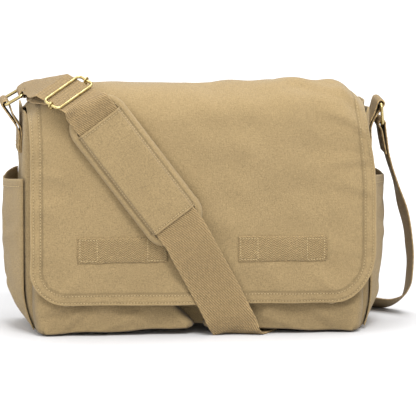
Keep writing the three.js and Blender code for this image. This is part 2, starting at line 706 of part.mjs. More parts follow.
// Cover: a canvas tunnel over the webbing, sewn down along both sides and open at its ends.
const coverCloth = 1.1;
const coverFoot = padFront - GAP;
const coverTop = STRAP_Y - WEBBING / 2 - GAP;
const coverIn = WEBBING_WIDTH / 2 + 0.6;
const cover = range(6, (t) => (t * 2 - 1) * COVER_HALF_LENGTH).map((along) => {
  const at = (across, y) => onPad(along, across, y);
  return [
    at(-COVER_HALF_WIDTH, coverFoot), at(-COVER_HALF_WIDTH, coverTop - coverCloth),
    at(COVER_HALF_WIDTH, coverTop - coverCloth), at(COVER_HALF_WIDTH, coverFoot),
    at(coverIn, coverFoot), at(coverIn, coverTop), at(-coverIn, coverTop), at(-coverIn, coverFoot),
  ];
});
add('pad_cover', loft(cover), CANVAS_COLOUR);

// ---- frame: bottom centre of the whole part's box at the origin ---------------------------------
const box = new THREE.Box3().setFromObject(root);
const shift = box.getCenter(vec(0, 0, 0)).multiplyScalar(-1).setZ(-box.min.z);
for (const mesh of root.children) {
  mesh.geometry.translate(shift.x, shift.y, shift.z);
}
console.log('shift', shift.toArray().map((v) => v.toFixed(4)).join(' '));

export default root;
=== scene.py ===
"""Looks of the canvas messenger bag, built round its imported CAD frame. Design lengths are in millimetres."""
import math

import bmesh
import bpy
import numpy as np
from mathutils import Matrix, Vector


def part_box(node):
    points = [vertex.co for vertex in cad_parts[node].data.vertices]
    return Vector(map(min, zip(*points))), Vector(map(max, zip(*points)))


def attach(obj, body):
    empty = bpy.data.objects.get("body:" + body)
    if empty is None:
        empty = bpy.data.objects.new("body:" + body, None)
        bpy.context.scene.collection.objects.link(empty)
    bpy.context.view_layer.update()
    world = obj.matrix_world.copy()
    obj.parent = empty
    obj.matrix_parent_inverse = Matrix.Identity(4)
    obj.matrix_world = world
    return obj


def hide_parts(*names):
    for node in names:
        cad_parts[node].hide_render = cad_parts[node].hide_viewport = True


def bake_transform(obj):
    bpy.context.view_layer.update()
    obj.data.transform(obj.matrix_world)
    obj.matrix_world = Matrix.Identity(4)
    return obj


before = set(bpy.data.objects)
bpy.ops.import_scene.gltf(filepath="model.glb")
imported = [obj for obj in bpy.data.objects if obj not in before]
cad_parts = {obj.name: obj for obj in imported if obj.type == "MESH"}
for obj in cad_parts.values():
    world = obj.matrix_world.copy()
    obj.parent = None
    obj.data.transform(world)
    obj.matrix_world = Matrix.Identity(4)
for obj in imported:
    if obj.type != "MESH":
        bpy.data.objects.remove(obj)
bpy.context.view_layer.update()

MM = 0.001
QUARTER = math.pi / 2

# ---- driving dimensions, the same as the part's apart from FLAP_CLOTH ----
FRONT_Y = -48.0
BACK_Y = 70.0
SIDE_X = 189.4
FLAP_HALF = 185.5
FLAP_CLOTH = 2.4
FLAP_FRONT_Y = -76.0
FLAP_BOTTOM = 35.0
FLAP_CORNER = 40.0
SHOULDER_R = 40.0
CREST_Z = 275.0
DROOP = 26.0
DROOP_FROM = 140.0
REAR_R = 32.0
REAR_OUT_Y = 72.9
REAR_DROP = 18.0
WEBBING = 2.2
WEBBING_WIDTH = 50.0
RING_Y = 5.0
RING_PITCH = 22.0
RING_REACH = 28.6
TAB_LOOP = 3.8
PAD_SLOPE = math.radians(53)
RUN_SLOPE = math.radians(61.5)
STRAP_Y = -89.2
PAD_BACK_Y = -79.0

panel_low, panel_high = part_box("front_panel")
SHIFT = np.array([(panel_low[0] + panel_high[0]) / 2 / MM, panel_low[1] / MM - FRONT_Y, 0.0])


def vec(*values):
    return np.array(values, float)


def unit(v):
    v = np.asarray(v, float)
    return v / np.maximum(np.linalg.norm(v, axis=-1, keepdims=True), 1e-9)


def in_frame(points):
    """Design millimetres to the frame's metres."""
    return (np.asarray(points, float) + SHIFT) * MM


def smooth(value):
    t = np.clip(value, 0, 1)
    return t * t * (3 - 2 * t)


def bump(value, centre, width):
    return np.exp(-(((value - centre) / width) ** 2))


def run_along(path):
    """Length along a path at each of its points."""
    return np.concatenate([[0], np.cumsum(np.linalg.norm(np.diff(path, axis=0), axis=1))])


def stacked(*values):
    """Points from their coordinates, each a number, a row or a grid."""
    return np.stack(np.broadcast_arrays(*values), -1)


def eased(count):
    """From -1 to 1, closer together at both ends."""
    return np.sin(np.linspace(-1, 1, count) * QUARTER)


def spread(values, grid):
    """The values, repeated over every point of the grid."""
    return np.broadcast_to(values, grid.shape[:2]).copy()


WAVES = 9


def ripple(x, y, seed, wavelength):
    """Smooth random field of about unit size, the same on every run."""
    rng = np.random.RandomState(seed)
    total = np.zeros(np.broadcast(x, y).shape)
    for _ in range(WAVES):
        turn = rng.uniform(0, math.pi)
        length = wavelength * rng.uniform(0.7, 1.6)
        phase = rng.uniform(0, 2 * math.pi)
        total = total + np.sin(2 * math.pi * (x * math.cos(turn) + y * math.sin(turn)) / length + phase)
    return total / math.sqrt(WAVES / 2)


def add_object(name, data):
    thing = bpy.data.objects.new(name, data)
    bpy.context.collection.objects.link(thing)
    return thing


def look_along(thing, direction):
    thing.rotation_mode = "QUATERNION"
    thing.rotation_quaternion = Vector(direction).to_track_quat("-Z", "Y")


# ---- camera ----
def make_camera():
    azimuth, elevation = math.radians(-5), math.radians(8)
    distance, view_width, sensor = 6000, 451.4, 36.0
    target = vec(8.7, FLAP_FRONT_Y, 140.5)
    back = vec(
        math.sin(azimuth) * math.cos(elevation),
        -math.cos(azimuth) * math.cos(elevation),
        math.sin(elevation),
    )
    data = bpy.data.cameras.new("camera")
    data.lens = sensor * distance / view_width
    data.sensor_width = sensor
    data.clip_end = 50
    camera = add_object("camera", data)
    camera.location = Vector(in_frame(target + back * distance))
    look_along(camera, -back)
    bpy.context.scene.camera = camera


# ---- materials ----
class Nodes:
    """Short names for adding linked shader nodes."""

    def __init__(self, name):
        self.material = bpy.data.materials.new(name)
        self.material.use_nodes = True
        self.tree = self.material.node_tree
        self.shader = self.tree.nodes["Principled BSDF"]

    def add(self, kind, **inputs):
        node = self.tree.nodes.new(kind)
        for key, value in inputs.items():
            self.put(node.inputs[key], value)
        return node

    def room(self):
        """Where the point is, in metres."""
        return self.tree.nodes.new("ShaderNodeTexCoord").outputs["Object"]

    def finish(self, **values):
        """Sets the shader's own sockets, named with _ for a space."""
        for key, value in values.items():
            self.put(self.shader.inputs[key.replace("_", " ")], value)
        return self.material

    def put(self, socket, value):
        if isinstance(value, bpy.types.NodeSocket):
            self.tree.links.new(value, socket)
        else:
            socket.default_value = value

    def math(self, operation, a, b=0.0, clamp=False):
        node = self.tree.nodes.new("ShaderNodeMath")
        node.operation = operation
        node.use_clamp = clamp
        self.put(node.inputs[0], a)
        self.put(node.inputs[1], b)
        return node.outputs[0]

    def times(self, a, b):
        return self.math("MULTIPLY", a, b)

    def plus(self, a, b):
        return self.math("ADD", a, b)

    def stain(self, colour, mask, strength, other):
        """The colour, nearer to another one where the mask is high."""
        return self.mix(self.times(mask, strength), colour, other)

    def mix(self, factor, a, b):
        node = self.tree.nodes.new("ShaderNodeMix")
        node.data_type = "RGBA"
        self.put(node.inputs[0], factor)
        self.put(node.inputs[6], a)
        self.put(node.inputs[7], b)
        return node.outputs[2]

    def noise(self, vector, scale, detail, rough=0.6):
        node = self.add("ShaderNodeTexNoise", Vector=vector, Scale=scale, Detail=detail, Roughness=rough)
        return node.outputs[0]

    def span(self, value, low, high, out_low=0.0, out_high=1.0):
        node = self.tree.nodes.new("ShaderNodeMapRange")
        self.put(node.inputs[0], value)
        for i, number in enumerate((low, high, out_low, out_high)):
            node.inputs[i + 1].default_value = number
        return node.outputs[0]

    def cloth_axes(self):
        """The cloth's own two directions, in millimetres, and a point in the room, in metres."""
        uv = self.tree.nodes.new("ShaderNodeUVMap")
        uv.uv_map = "cloth"
        parts = self.add("ShaderNodeSeparateXYZ", Vector=uv.outputs[0])
        across = self.times(parts.outputs[0], 1000.0)
        along = self.times(parts.outputs[1], 1000.0)
        return across, along, self.room()

    def finish_cloth(self, colour, height, strength, roughness, sheen=0.15):
        bumps = self.add("ShaderNodeBump", Strength=strength, Distance=0.0006, Height=height).outputs[0]
        self.finish(Base_Color=colour, Roughness=roughness, Normal=bumps)
        return self.finish(Sheen_Weight=sheen, Specular_IOR_Level=0.2)


def threads(n, across, along, pitch):
    """Plain weave: high where a thread passes over, in a checker."""
    a = n.math("SINE", n.times(across, math.pi / pitch))
    b = n.math("SINE", n.times(along, math.pi / pitch))
    return n.times(a, b)


def streaks(n, across, along):
    """Uneven thread thickness: long thin marks both ways."""
    vectors = []
    for fine, coarse in ((0.95, 0.17), (0.2, 0.95)):
        u = n.times(across, fine)
        v = n.times(along, coarse)
        vectors.append(n.add("ShaderNodeCombineXYZ", X=u, Y=v).outputs[0])
    return n.plus(n.noise(vectors[0], 1.0, 2.0), n.noise(vectors[1], 1.0, 2.0))


def tone(colour, gain):
    """The colour made lighter or darker, with full alpha."""
    return (colour[0] * gain, colour[1] * gain, colour[2] * gain, 1.0)


def wear_and_painted_light_mix(n, colour, base):
    """Paler where the mesh's per-point values are above zero, for worn edges and painted highlights; darker
    where they are below zero, for painted shade in seams, where parts meet and under the flap.
    """
    wear_and_painted_light = n.add("ShaderNodeAttribute")
    wear_and_painted_light.attribute_name = "wear_and_painted_light"
    pale = n.times(n.math("MAXIMUM", wear_and_painted_light.outputs["Fac"], 0.0), 0.55)
    painted_shade = n.times(wear_and_painted_light.outputs["Fac"], -1.0)
    dark = n.math("MULTIPLY", n.math("MAXIMUM", painted_shade, 0.0), 0.9, True)
    paler = n.mix(pale, colour, tone(base, 1.32))
    return n.mix(dark, paler, tone(base, 0.5))


def canvas_material(name, base, pitch=0.85, patch=1.0):
    n = Nodes(name)
    across, along, place = n.cloth_axes()
    marks = n.span(streaks(n, across, along), 0.7, 1.3)
    colour = n.mix(marks, tone(base, 0.66), tone(base, 1.26))
    cloud = n.span(n.noise(place, 19.0, 5.0), 0.3, 0.7)
    colour = n.stain(colour, cloud, 0.7 * patch, tone(base, 0.77))
    fleck = n.span(n.noise(place, 900.0, 3.0, 0.7), 0.38, 0.64)
    colour = n.stain(colour, fleck, 0.6, tone(base, 1.42))
    pit = n.span(n.noise(place, 700.0, 3.0, 0.7), 0.48, 0.66)
    colour = n.stain(colour, pit, 0.45, tone(base, 0.66))
    weave = threads(n, across, along, pitch)
    colour = n.mix(n.span(weave, -1.0, 1.0, 0.16, 0.0), colour, tone(base, 0.6))
    colour = wear_and_painted_light_mix(n, colour, base)
    slub = n.times(marks, 0.8)
    height = n.plus(n.times(weave, 0.5), slub)
    roughness = n.span(cloud, 0.0, 1.0, 0.86, 0.97)
    return n.finish_cloth(colour, height, 0.8, roughness)


def webbing_material(name, base, rib=2.3, slant=-0.33, dash=0.45, zigzag=None):
    """Ribs almost along the band, or going to and fro across it, each broken into raised dashes."""
    n = Nodes(name)
    across, along, place = n.cloth_axes()
    run = along if zigzag is None else n.math("PINGPONG", along, zigzag)
    line = n.plus(across, n.times(run, slant))
    ribs = n.math("SINE", n.times(line, 2 * math.pi / rib))
    steps = n.math("SUBTRACT", along, n.times(across, 0.5))
    dashes = n.math("SINE", n.times(steps, 2 * math.pi / (1.7 * rib)))
    grain = n.span(streaks(n, across, along), 0.7, 1.3, -1.0, 1.0)
    broken = n.times(ribs, n.plus(n.times(dashes, dash), 1.0))
    height = n.plus(broken, n.times(grain, 0.5))
    marks = n.span(streaks(n, across, along), 0.7, 1.3)
    colour = n.mix(marks, tone(base, 0.86), tone(base, 1.14))
    # Painted shade between the ribs and painted highlight on their tops.
    colour = n.mix(n.span(height, -1.3, 1.3, 0.75, 0.0), colour, tone(base, 0.5))
    colour = n.mix(n.span(height, 0.4, 1.4, 0.0, 0.75), colour, tone(base, 1.5))
    cloud = n.span(n.noise(place, 30.0, 3.0), 0.3, 0.7)
    colour = n.stain(colour, cloud, 0.25, tone(base, 0.82))
    colour = wear_and_painted_light_mix(n, colour, base)
    return n.finish_cloth(colour, height, 0.9, n.span(cloud, 0.0, 1.0, 0.78, 0.9), 0.1)


def brass_material(name):
    n = Nodes(name)
    place = n.room()
    spots = n.span(n.noise(place, 160.0, 4.0), 0.4, 0.7)
    colour = n.mix(spots, (0.56, 0.45, 0.21, 1.0), (0.36, 0.27, 0.11, 1.0))
    roughness = n.span(spots, 0.0, 1.0, 0.24, 0.42)
    scratches = n.noise(place, 900.0, 2.0)
    relief = n.add("ShaderNodeBump", Strength=0.12, Distance=0.0002, Height=scratches)
    return n.finish(Base_Color=colour, Metallic=1.0, Roughness=roughness, Normal=relief.outputs[0])


def fuzz_material(name, base, scale):
    """Hook-and-loop tape: a dense rough pile."""
    n = Nodes(name)
    place = n.room()
    pile = n.noise(place, scale, 5.0, 0.75)
    colour = n.mix(n.span(pile, 0.35, 0.65), tone(base, 0.6), tone(base, 1.3))
    return n.finish_cloth(colour, pile, 0.9, 0.95)


def floor_material(name):
    n = Nodes(name)
    place = n.room()
    soft = n.span(n.noise(place, 1.3, 2.0), 0.3, 0.7)
    near = n.mix(soft, (0.62, 0.62, 0.63, 1.0), (0.65, 0.65, 0.66, 1.0))
    distance = n.tree.nodes.new("ShaderNodeVectorMath")
    distance.operation = "LENGTH"
    n.put(distance.inputs[0], place)
    # Paler further out: painted light that makes up for the lamps' falloff, so the far floor looks evenly
    # white.
    rim = n.span(distance.outputs["Value"], 0.6, 1.7)
    colour = n.mix(rim, near, (0.98, 0.98, 0.98, 1.0))
    return n.finish(Base_Color=colour, Roughness=0.8, Specular_IOR_Level=0.1)


CANVAS_TINT = (0.315, 0.226, 0.11)
WEBBING_TINT = (0.35, 0.242, 0.114)
CANVAS = canvas_material("canvas", CANVAS_TINT)
THREAD = canvas_material("thread", (0.56, 0.42, 0.22), 0.5, 0.5)
STRAPPING = webbing_material("webbing", WEBBING_TINT)
TWILL = webbing_material("webbing_twill", (0.36, 0.254, 0.12), 2.5, 0.9, 0.35, 3.1)
BRASS = brass_material("brass")
HOOKS = fuzz_material("hook_tape", (0.17, 0.12, 0.06), 900.0)
LOOPS = fuzz_material("loop_tape", (0.19, 0.135, 0.07), 500.0)


# ---- mesh building ----
def grid_normals(grid, closed):
    if closed:
        rows = (np.roll(grid, -1, 0) - np.roll(grid, 1, 0)) / 2
    else:
        rows = np.gradient(grid, axis=0)
    return unit(np.cross(np.gradient(grid, axis=1), rows))


def quads(rows, columns, closed):
    """Faces of a grid of points, joined round if it is closed."""
    count = rows if closed else rows - 1
    i = np.arange(count)[:, None]
    j = np.arange(columns - 1)[None, :]
    below, above = i * columns, ((i + 1) % rows) * columns
    return np.stack([below + j, below + j + 1, above + j + 1, above + j], -1).reshape(-1, 4)


def border_loop(rows, columns):
    """The grid's outermost places, once round."""
    top = [(0, j) for j in range(columns)]
    right = [(i, columns - 1) for i in range(1, rows)]
    bottom = [(rows - 1, j) for j in range(columns - 2, -1, -1)]
    left = [(i, 0) for i in range(rows - 2, 0, -1)]
    return top + right + bottom + left


def make_object(name, points, faces, uv, wear_and_painted_light, material):
    """A piece with every face turned outward, its cloth axes and its values for wear, painted highlight and
    painted shade.
    """
    mesh = bpy.data.meshes.new(name)
    mesh.from_pydata(in_frame(points).tolist(), [], [list(map(int, f)) for f in faces])
    facing = bmesh.new()
    facing.from_mesh(mesh)
    bmesh.ops.recalc_face_normals(facing, faces=facing.faces)
    facing.to_mesh(mesh)
    facing.free()
    layer = mesh.uv_layers.new(name="cloth")
    corners = np.empty(len(mesh.loops), int)
    mesh.loops.foreach_get("vertex_index", corners)
    layer.data.foreach_set("uv", (np.asarray(uv)[corners] * MM).ravel())
    mesh.attributes.new("wear_and_painted_light", "FLOAT", "POINT").data.foreach_set("value", np.asarray(wear_and_painted_light, float))
    mesh.polygons.foreach_set("use_smooth", np.ones(len(mesh.polygons), bool))
    mesh.materials.append(material)
    mesh.update()
    return add_object(name, mesh)


def cloth(name, outer, uv, material, thickness=2.0, inner=None, wear_and_painted_light=None, closed=False):
    """Closed body whose outer face is the grid, with a soft rounded edge all round."""
    rows, columns = outer.shape[:2]
    if inner is None:
        inner = outer - grid_normals(outer, closed) * np.asarray(thickness)[..., None]
    if wear_and_painted_light is None:
        wear_and_painted_light = np.zeros((rows, columns))
    size = rows * columns
    faces = [quads(rows, columns, closed), quads(rows, columns, closed)[:, ::-1] + size]
    points = [outer.reshape(-1, 3), inner.reshape(-1, 3)]
    sides = [[(i, 0) for i in range(rows)], [(i, columns - 1) for i in range(rows)]]
    loops = sides if closed else [border_loop(rows, columns)]
    start = 2 * size
    uvs, wear_and_painted_light_rows = [uv.reshape(-1, 2)] * 2, [wear_and_painted_light.ravel()] * 2
    for number, loop in enumerate(loops):
        at = np.array(loop)
        inward = np.array([
            (min(max(i, 0 if closed else 1), rows - (1 if closed else 2)), min(max(j, 1), columns - 2))
            for i, j in loop
        ])
        edge = outer[at[:, 0], at[:, 1]]
        back = inner[at[:, 0], at[:, 1]]
        out = unit(edge - outer[inward[:, 0], inward[:, 1]])
        depth = np.linalg.norm(edge - back, axis=1, keepdims=True)
        points.append((edge + back) / 2 + out * depth * 0.35)
        uvs.append(uv[at[:, 0], at[:, 1]])
        wear_and_painted_light_rows.append(wear_and_painted_light[at[:, 0], at[:, 1]] + 0.25)
        flat = at[:, 0] * columns + at[:, 1]
        rim = start + np.arange(len(loop))
        after, rim_after = np.roll(flat, -1), np.roll(rim, -1)
        if number == 1 or not closed:
            flat, after, rim, rim_after = after, flat, rim_after, rim
        faces.append(np.stack([flat, after, rim_after, rim], -1)[:, ::-1])
        faces.append(np.stack([rim, rim_after, after + size, flat + size], -1)[:, ::-1])
        start += len(loop)
    points, faces, uvs, wear_and_painted_light_rows = (np.concatenate(parts) for parts in (points, faces, uvs, wear_and_painted_light_rows))
    return make_object(name, points, faces, uvs, wear_and_painted_light_rows, material)


def wire(name, path, radius, normal, closed, material, sides=14):
    """Round wire along a path that lies in the plane with this normal."""
    path = np.asarray(path, float)
    if closed:
        along = unit(np.roll(path, -1, 0) - np.roll(path, 1, 0))
    else:
        along = unit(np.gradient(path, axis=0))
    aside = unit(np.cross(along, normal))
    turn = np.arange(sides) / sides * 2 * math.pi
    ring = aside[:, None] * np.cos(turn)[None, :, None] + np.asarray(normal) * np.sin(turn)[None, :, None]
    points = (path[:, None] + ring * radius).reshape(-1, 3)
    rows = len(path)
    faces = []
    for i in range(rows if closed else rows - 1):
        a, b = i * sides, ((i + 1) % rows) * sides
        for j in range(sides):
            k = (j + 1) % sides
            faces.append((a + j, a + k, b + k, b + j))
    if not closed:
        faces.append(tuple(range(sides)))
        faces.append(tuple(reversed(range((rows - 1) * sides, rows * sides))))
    uv = np.zeros((len(points), 2))
    return make_object(name, points, faces, uv, np.zeros(len(points)), material)


def curve_points(knots, count):
    """Centripetal Catmull-Rom curve through the knots."""
    k = np.asarray(knots, float)
    k = np.vstack([2 * k[0] - k[1], k, 2 * k[-1] - k[-2]])
    gaps = np.maximum(np.linalg.norm(np.diff(k, axis=0), axis=1) ** 0.5, 1e-4)
    t = np.concatenate([[0], np.cumsum(gaps)])
    result = []
    for place in np.linspace(0, len(knots) - 1, count):
        i = min(int(place), len(knots) - 2)
        x = t[i + 1] + (place - i) * (t[i + 2] - t[i + 1])
        p = k[i:i + 4]
        s = t[i:i + 4]
        for level in (1, 2, 3):
            p = [
                ((s[j + level] - x) * p[j] + (x - s[j]) * p[j + 1]) / (s[j + level] - s[j])
                for j in range(4 - level)
            ]
        result.append(p[0])
    return np.array(result)


def band_stations(knots, count):
    """Knots are (place, width direction) pairs."""
    path = curve_points([k[0] for k in knots], count)
    leans = np.array([unit(k[1]) for k in knots])
    place = np.linspace(0, len(knots) - 1, count)
    first = np.minimum(place.astype(int), len(knots) - 2)
    part = smooth(place - first)[:, None]
    return path, unit(leans[first] * (1 - part) + leans[first + 1] * part)


def band(name, stations, thickness, settle=None, seed=1):
    """Flat webbing: a slightly crowned band with thin selvedges."""
    path, across = stations
    along = unit(np.gradient(path, axis=0))
    up = unit(np.cross(along, across))
    run = run_along(path)
    t = eased(13) * 0.5
    wobble = 0.15 * ripple(run[:, None], t[None, :] * 20, seed, 40)
    half = thickness / 2 * (1 - 0.35 * (np.abs(t) * 2) ** 8)
    base = path[:, None] + across[:, None] * (t * WEBBING_WIDTH)[None, :, None]
    outer = base + up[:, None] * (half + wobble)[..., None]
    inner = base - up[:, None] * (half - wobble)[..., None]
    if settle:
        outer, inner = settle(outer, 1), settle(inner, -1)
    uv = stacked(t[None, :] * WEBBING_WIDTH, run[:, None])
    wear_and_painted_light = spread((np.abs(t) * 2) ** 10 * 0.6, base)
    return cloth(name, outer, uv, STRAPPING, inner=inner, wear_and_painted_light=wear_and_painted_light)


def stitches(name, path, normals, pitch=3.4, length=2.3, radius=0.34):
    """A row of short raised threads along a path, each a six-sided rod with tapered ends."""
    sink, sides = 0.05, 6
    path = np.asarray(path, float)
    normals = np.broadcast_to(normals, path.shape)
    run = run_along(path)
    places = np.arange(pitch / 2, run[-1], pitch)
    centre = np.stack([np.interp(places, run, path[:, i]) for i in range(3)], -1)
    ahead = np.stack([np.interp(places + 0.5, run, path[:, i]) for i in range(3)], -1)
    normal = unit(np.stack([np.interp(places, run, normals[:, i]) for i in range(3)], -1))
    along = unit(ahead - centre + 1e-7)
    side = unit(np.cross(along, normal))
    points, faces = [], []
    stations = ((-0.5, 0.25, -0.9), (-0.3, 1.0, 0.2), (0.3, 1.0, 0.2), (0.5, 0.25, -0.9))
    turns = [i / sides * 2 * math.pi for i in range(sides)]
    for number in range(len(centre)):
        first = len(points)
        for at, fat, lift in stations:
            middle = centre[number] + along[number] * at * length + normal[number] * (lift * radius - sink)
            for turn in turns:
                out = side[number] * math.cos(turn) + normal[number] * math.sin(turn) * 0.8
                points.append(middle + out * radius * fat)
        last = first + (len(stations) - 1) * sides
        for a in range(first, last, sides):
            for j in range(sides):
                k = (j + 1) % sides
                faces.append((a + j, a + k, a + sides + k, a + sides + j))
        faces.append(tuple(first + j for j in reversed(range(sides))))
        faces.append(tuple(last + j for j in range(sides)))
    points = np.array(points)
    return make_object(name, points, faces, points[:, [0, 2]], np.zeros(len(points)), THREAD)


def join(name, pieces):
    """One object from several meshes of the same kind."""
    bpy.ops.object.select_all(action="DESELECT")
    for piece in pieces:
        piece.select_set(True)
    bpy.context.view_layer.objects.active = pieces[0]
    bpy.ops.object.join()
    pieces[0].name = name
    pieces[0].data.name = name
    return pieces[0]


def settle_in(piece, body, slot, *nodes):
    """Hides the parts that the piece stands for, if any, and moves it with its body; the slot, what it is made
    of, is not used.
    """
    if nodes:
        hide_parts(*nodes)
    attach(piece, body)


# ---- body shell ----
CORNER_R = 12.0
FOOT_R = 7.0
ARCH_EDGE = 158.0
ARCH_LOW = 3.4
ARCH_RISE = 5.0
ARCH_FOOT = 168.0
PANEL_PLY = 1.8
FRONT_TOP = 230.0
BACK_TOP = 242.0
GUSSET_TOP = 246.0
GUSSET_FRONT_TOP = 232.0


def arch_height(x):
    """Height of the bag's underside, which stands on its two ends and arches between them."""
    out = np.abs(x)
    middle = ARCH_LOW + ARCH_RISE * (1 - (np.minimum(out, ARCH_EDGE) / ARCH_EDGE) ** 2)
    foot = ARCH_LOW * smooth((ARCH_FOOT - out) / (ARCH_FOOT - ARCH_EDGE))
    return np.where(out > ARCH_EDGE, foot, middle)


def droop(x):
    """How far the bag's top sinks towards its ends."""
    out = np.clip((np.abs(x) - DROOP_FROM) / (FLAP_HALF - DROOP_FROM), 0, 1.05)
    return DROOP * out ** 2.2


def flap_droop(x):
    """The flap's top corners sink, the left one more than the right."""
    right_from = 152
    right = 18.0 * np.clip((x - right_from) / (FLAP_HALF - right_from), 0, 1.05) ** 2
    return np.where(x < 0, droop(x), right)


def crest_fall(y):
    """How far the top of the flap sinks towards the back of the bag."""
    return 10.0 * smooth((y + 38) / 112)


def side_inset(side, z):
    """The lower corners of the bag are rounded, the left more than the right."""
    depth, reach = (13.0, 52.0) if side < 0 else (8.0, 44.0)
    return depth * np.clip(1 - z / reach, 0, 1) ** 2


def foot_rows(top_count):
    """Rows of (share of height, inset, lift off the bottom) that turn under at the bottom."""
    rows = [(0, 11.0, 0.0), (0, 8.5, 0.0)]
    for turn in np.linspace(0, QUARTER, 6):
        rows.append((0, FOOT_R * (1 - math.sin(turn)), FOOT_R * (1 - math.cos(turn))))
    rows += [(v, 0.0, FOOT_R) for v in np.linspace(0, 1, top_count)[1:]]
    return np.array(rows)


BACK_CREASES = (
    ((168, 10), (96, 74), 8, 1.8),
    ((-168, 12), (-90, 60), 8, 1.8),
    ((172, 120), (92, 104), 9, 1.4),
    ((-172, 96), (-104, 122), 9, 1.4),
    ((60, 14), (20, 90), 10, 1.2),
    ((-40, 190), (60, 168), 12, 1.2),
)
GUSSET_CREASES = (
    ((-40, 26), (30, 62), 7, 2.2),
    ((62, 20), (10, 84), 7, 2.0),
    ((-42, 112), (16, 96), 7, 1.8),
    ((64, 150), (10, 128), 7, 1.8),
    ((-36, 186), (0, 158), 6, 1.6),
    ((60, 205), (28, 172), 6, 1.4),
)


def wall_panel(name, side, top, node, seed):
    """Front wall for side -1 and back wall for side 1."""
    rows = foot_rows(60)
    u = np.linspace(-1, 1, 121)[None, :]
    share, inset, lift = (rows[:, i][:, None] for i in range(3))
    x0 = u * (SIDE_X - CORNER_R)
    low = arch_height(x0)
    z = low + lift + share * (top(x0) - low - FOOT_R)
    x = u * (SIDE_X - CORNER_R - np.where(u < 0, side_inset(-1, z), side_inset(1, z)))
    belly = (1.4 if side < 0 else 5.0) * np.sin(math.pi * np.clip(z / 215, 0, 1)) * (1 - u ** 4)
    folds = 0.5 * ripple(x, z, seed, 95) + 0.25 * ripple(x, z, seed + 1, 34)
    if side > 0:
        folds = folds + 1.3 * ripple(x, z * 0.4, seed + 2, 70) * (1 - share) ** 2
        folds = (folds + creases(x, z, BACK_CREASES)) * smooth((222 - z) / 30)
    flat = FRONT_Y if side < 0 else BACK_Y
    hem_at = top(x0) - z
    seam_at = 10.5
    hem = 0.8 * smooth((13 - hem_at) / 1.2) - 0.5 * bump(hem_at, seam_at, 0.9)
    if side > 0:
        hem = -2.2 * smooth((z - 198) / 18)
    y = flat + side * (belly + folds * smooth(share * 8) + hem - inset)
    grid = stacked(x, y, z)
    if side > 0:
        grid = grid[:, ::-1]
        uv = np.stack([-grid[..., 0], grid[..., 2]], -1)
    else:
        uv = grid[..., [0, 2]]
    # Paler along the worn top edge; painted shade along the seam line below it.
    wear_and_painted_light = spread(0.5 * bump(hem_at, 0, 1.5) - 0.5 * bump(hem_at, seam_at, 1.2), grid)
    wear_and_painted_light += 0.25 * bump(z, arch_height(x0) + 3, 5)
    settle_in(cloth(name, grid, uv, CANVAS, PANEL_PLY, wear_and_painted_light=wear_and_painted_light), "bag", "canvas", node)


def gusset_panel(side, node, seed):
    """Side wall, with the bag's two vertical corners."""
    turn = np.linspace(0, QUARTER, 7)
    path = [(-(CORNER_R - CORNER_R * math.sin(t)), FRONT_Y + CORNER_R * (1 - math.cos(t))) for t in turn]
    path += [(0, y) for y in np.linspace(FRONT_Y + CORNER_R, BACK_Y - CORNER_R, 32)[1:-1]]
    path += [(-(CORNER_R - CORNER_R * math.cos(t)), BACK_Y - CORNER_R + CORNER_R * math.sin(t)) for t in turn]
    path = np.array(path)
    normal = unit(np.stack([-np.gradient(path[:, 1]), np.gradient(path[:, 0])], -1)) * -1
    rows = foot_rows(64)
    share, inset, lift = (rows[:, i][:, None] for i in range(3))
    part = np.linspace(0, 1, len(path))[None, :]
    ends = np.minimum(part, 1 - part) * 2
    back_top = BACK_TOP - droop(SIDE_X - CORNER_R)
    corner_top = np.where(part < 0.5, GUSSET_FRONT_TOP, back_top)
    top = corner_top + (GUSSET_TOP - corner_top) * smooth(ends * 4) - 5 * np.sin(math.pi * part)
    z = lift + share * (top - FOOT_R)
    y0 = path[:, 1][None, :]
    belly = 3.0 * np.sin(math.pi * np.clip(z / 240, 0, 1)) * np.sin(math.pi * part)
    soft = np.sin(math.pi * part) * smooth(share * 6)
    folds = 1.5 * ripple(y0, z * 0.35, seed, 48) + creases(y0, z, GUSSET_CREASES)
    folds = folds * soft
    tab_flat = 1 - bump(z, 214, 34) * smooth((34 - np.abs(y0 - RING_Y)) / 8)
    out = belly * 0.6 + folds
    out = out * tab_flat
    shrink = side_inset(side, z)
    x = side * (SIDE_X + path[:, 0][None, :] - shrink + normal[:, 0][None, :] * (out - inset))
    y = y0 + normal[:, 1][None, :] * (out - inset)
    grid = stacked(x, y, z)
    if side < 0:
        grid = grid[:, ::-1]
    uv = grid[..., [1, 2]] * vec(side, 1)
    wear_and_painted_light = 0.5 * bump(spread(top - z, grid), 0, 1.5) + 0.3 * bump(spread(z, grid), 3, 4)
    piece = cloth(f"gusset_cloth_{node}", grid, uv, CANVAS, PANEL_PLY, wear_and_painted_light=wear_and_painted_light)
    settle_in(piece, "bag", "canvas", f"gusset_{node}")


def seam_welt(name, side, front):
    """Piped seam that runs down a vertical corner and turns under the bag."""
    top = FRONT_TOP if front else 214
    z = np.concatenate([np.linspace(top, FOOT_R, 60), [4.0, 2.0, 1.6]])
    x = side * (SIDE_X - CORNER_R - side_inset(side, z) + 0.4)
    inset = np.where(z < FOOT_R, (FOOT_R - z) ** 2 / FOOT_R * 0.8, 0)
    y = (FRONT_Y - 0.7 + inset) if front else (BACK_Y + 0.7 - inset)
    y = y + (0 if front else 1.2) * np.sin(math.pi * np.clip(z / 250, 0, 1))
    path = np.stack([x + 0.5 * ripple(z, 0, 5, 60), y, z], -1)
    return wire(name, path, 1.5, vec(1, 0, 0), False, CANVAS, 10)


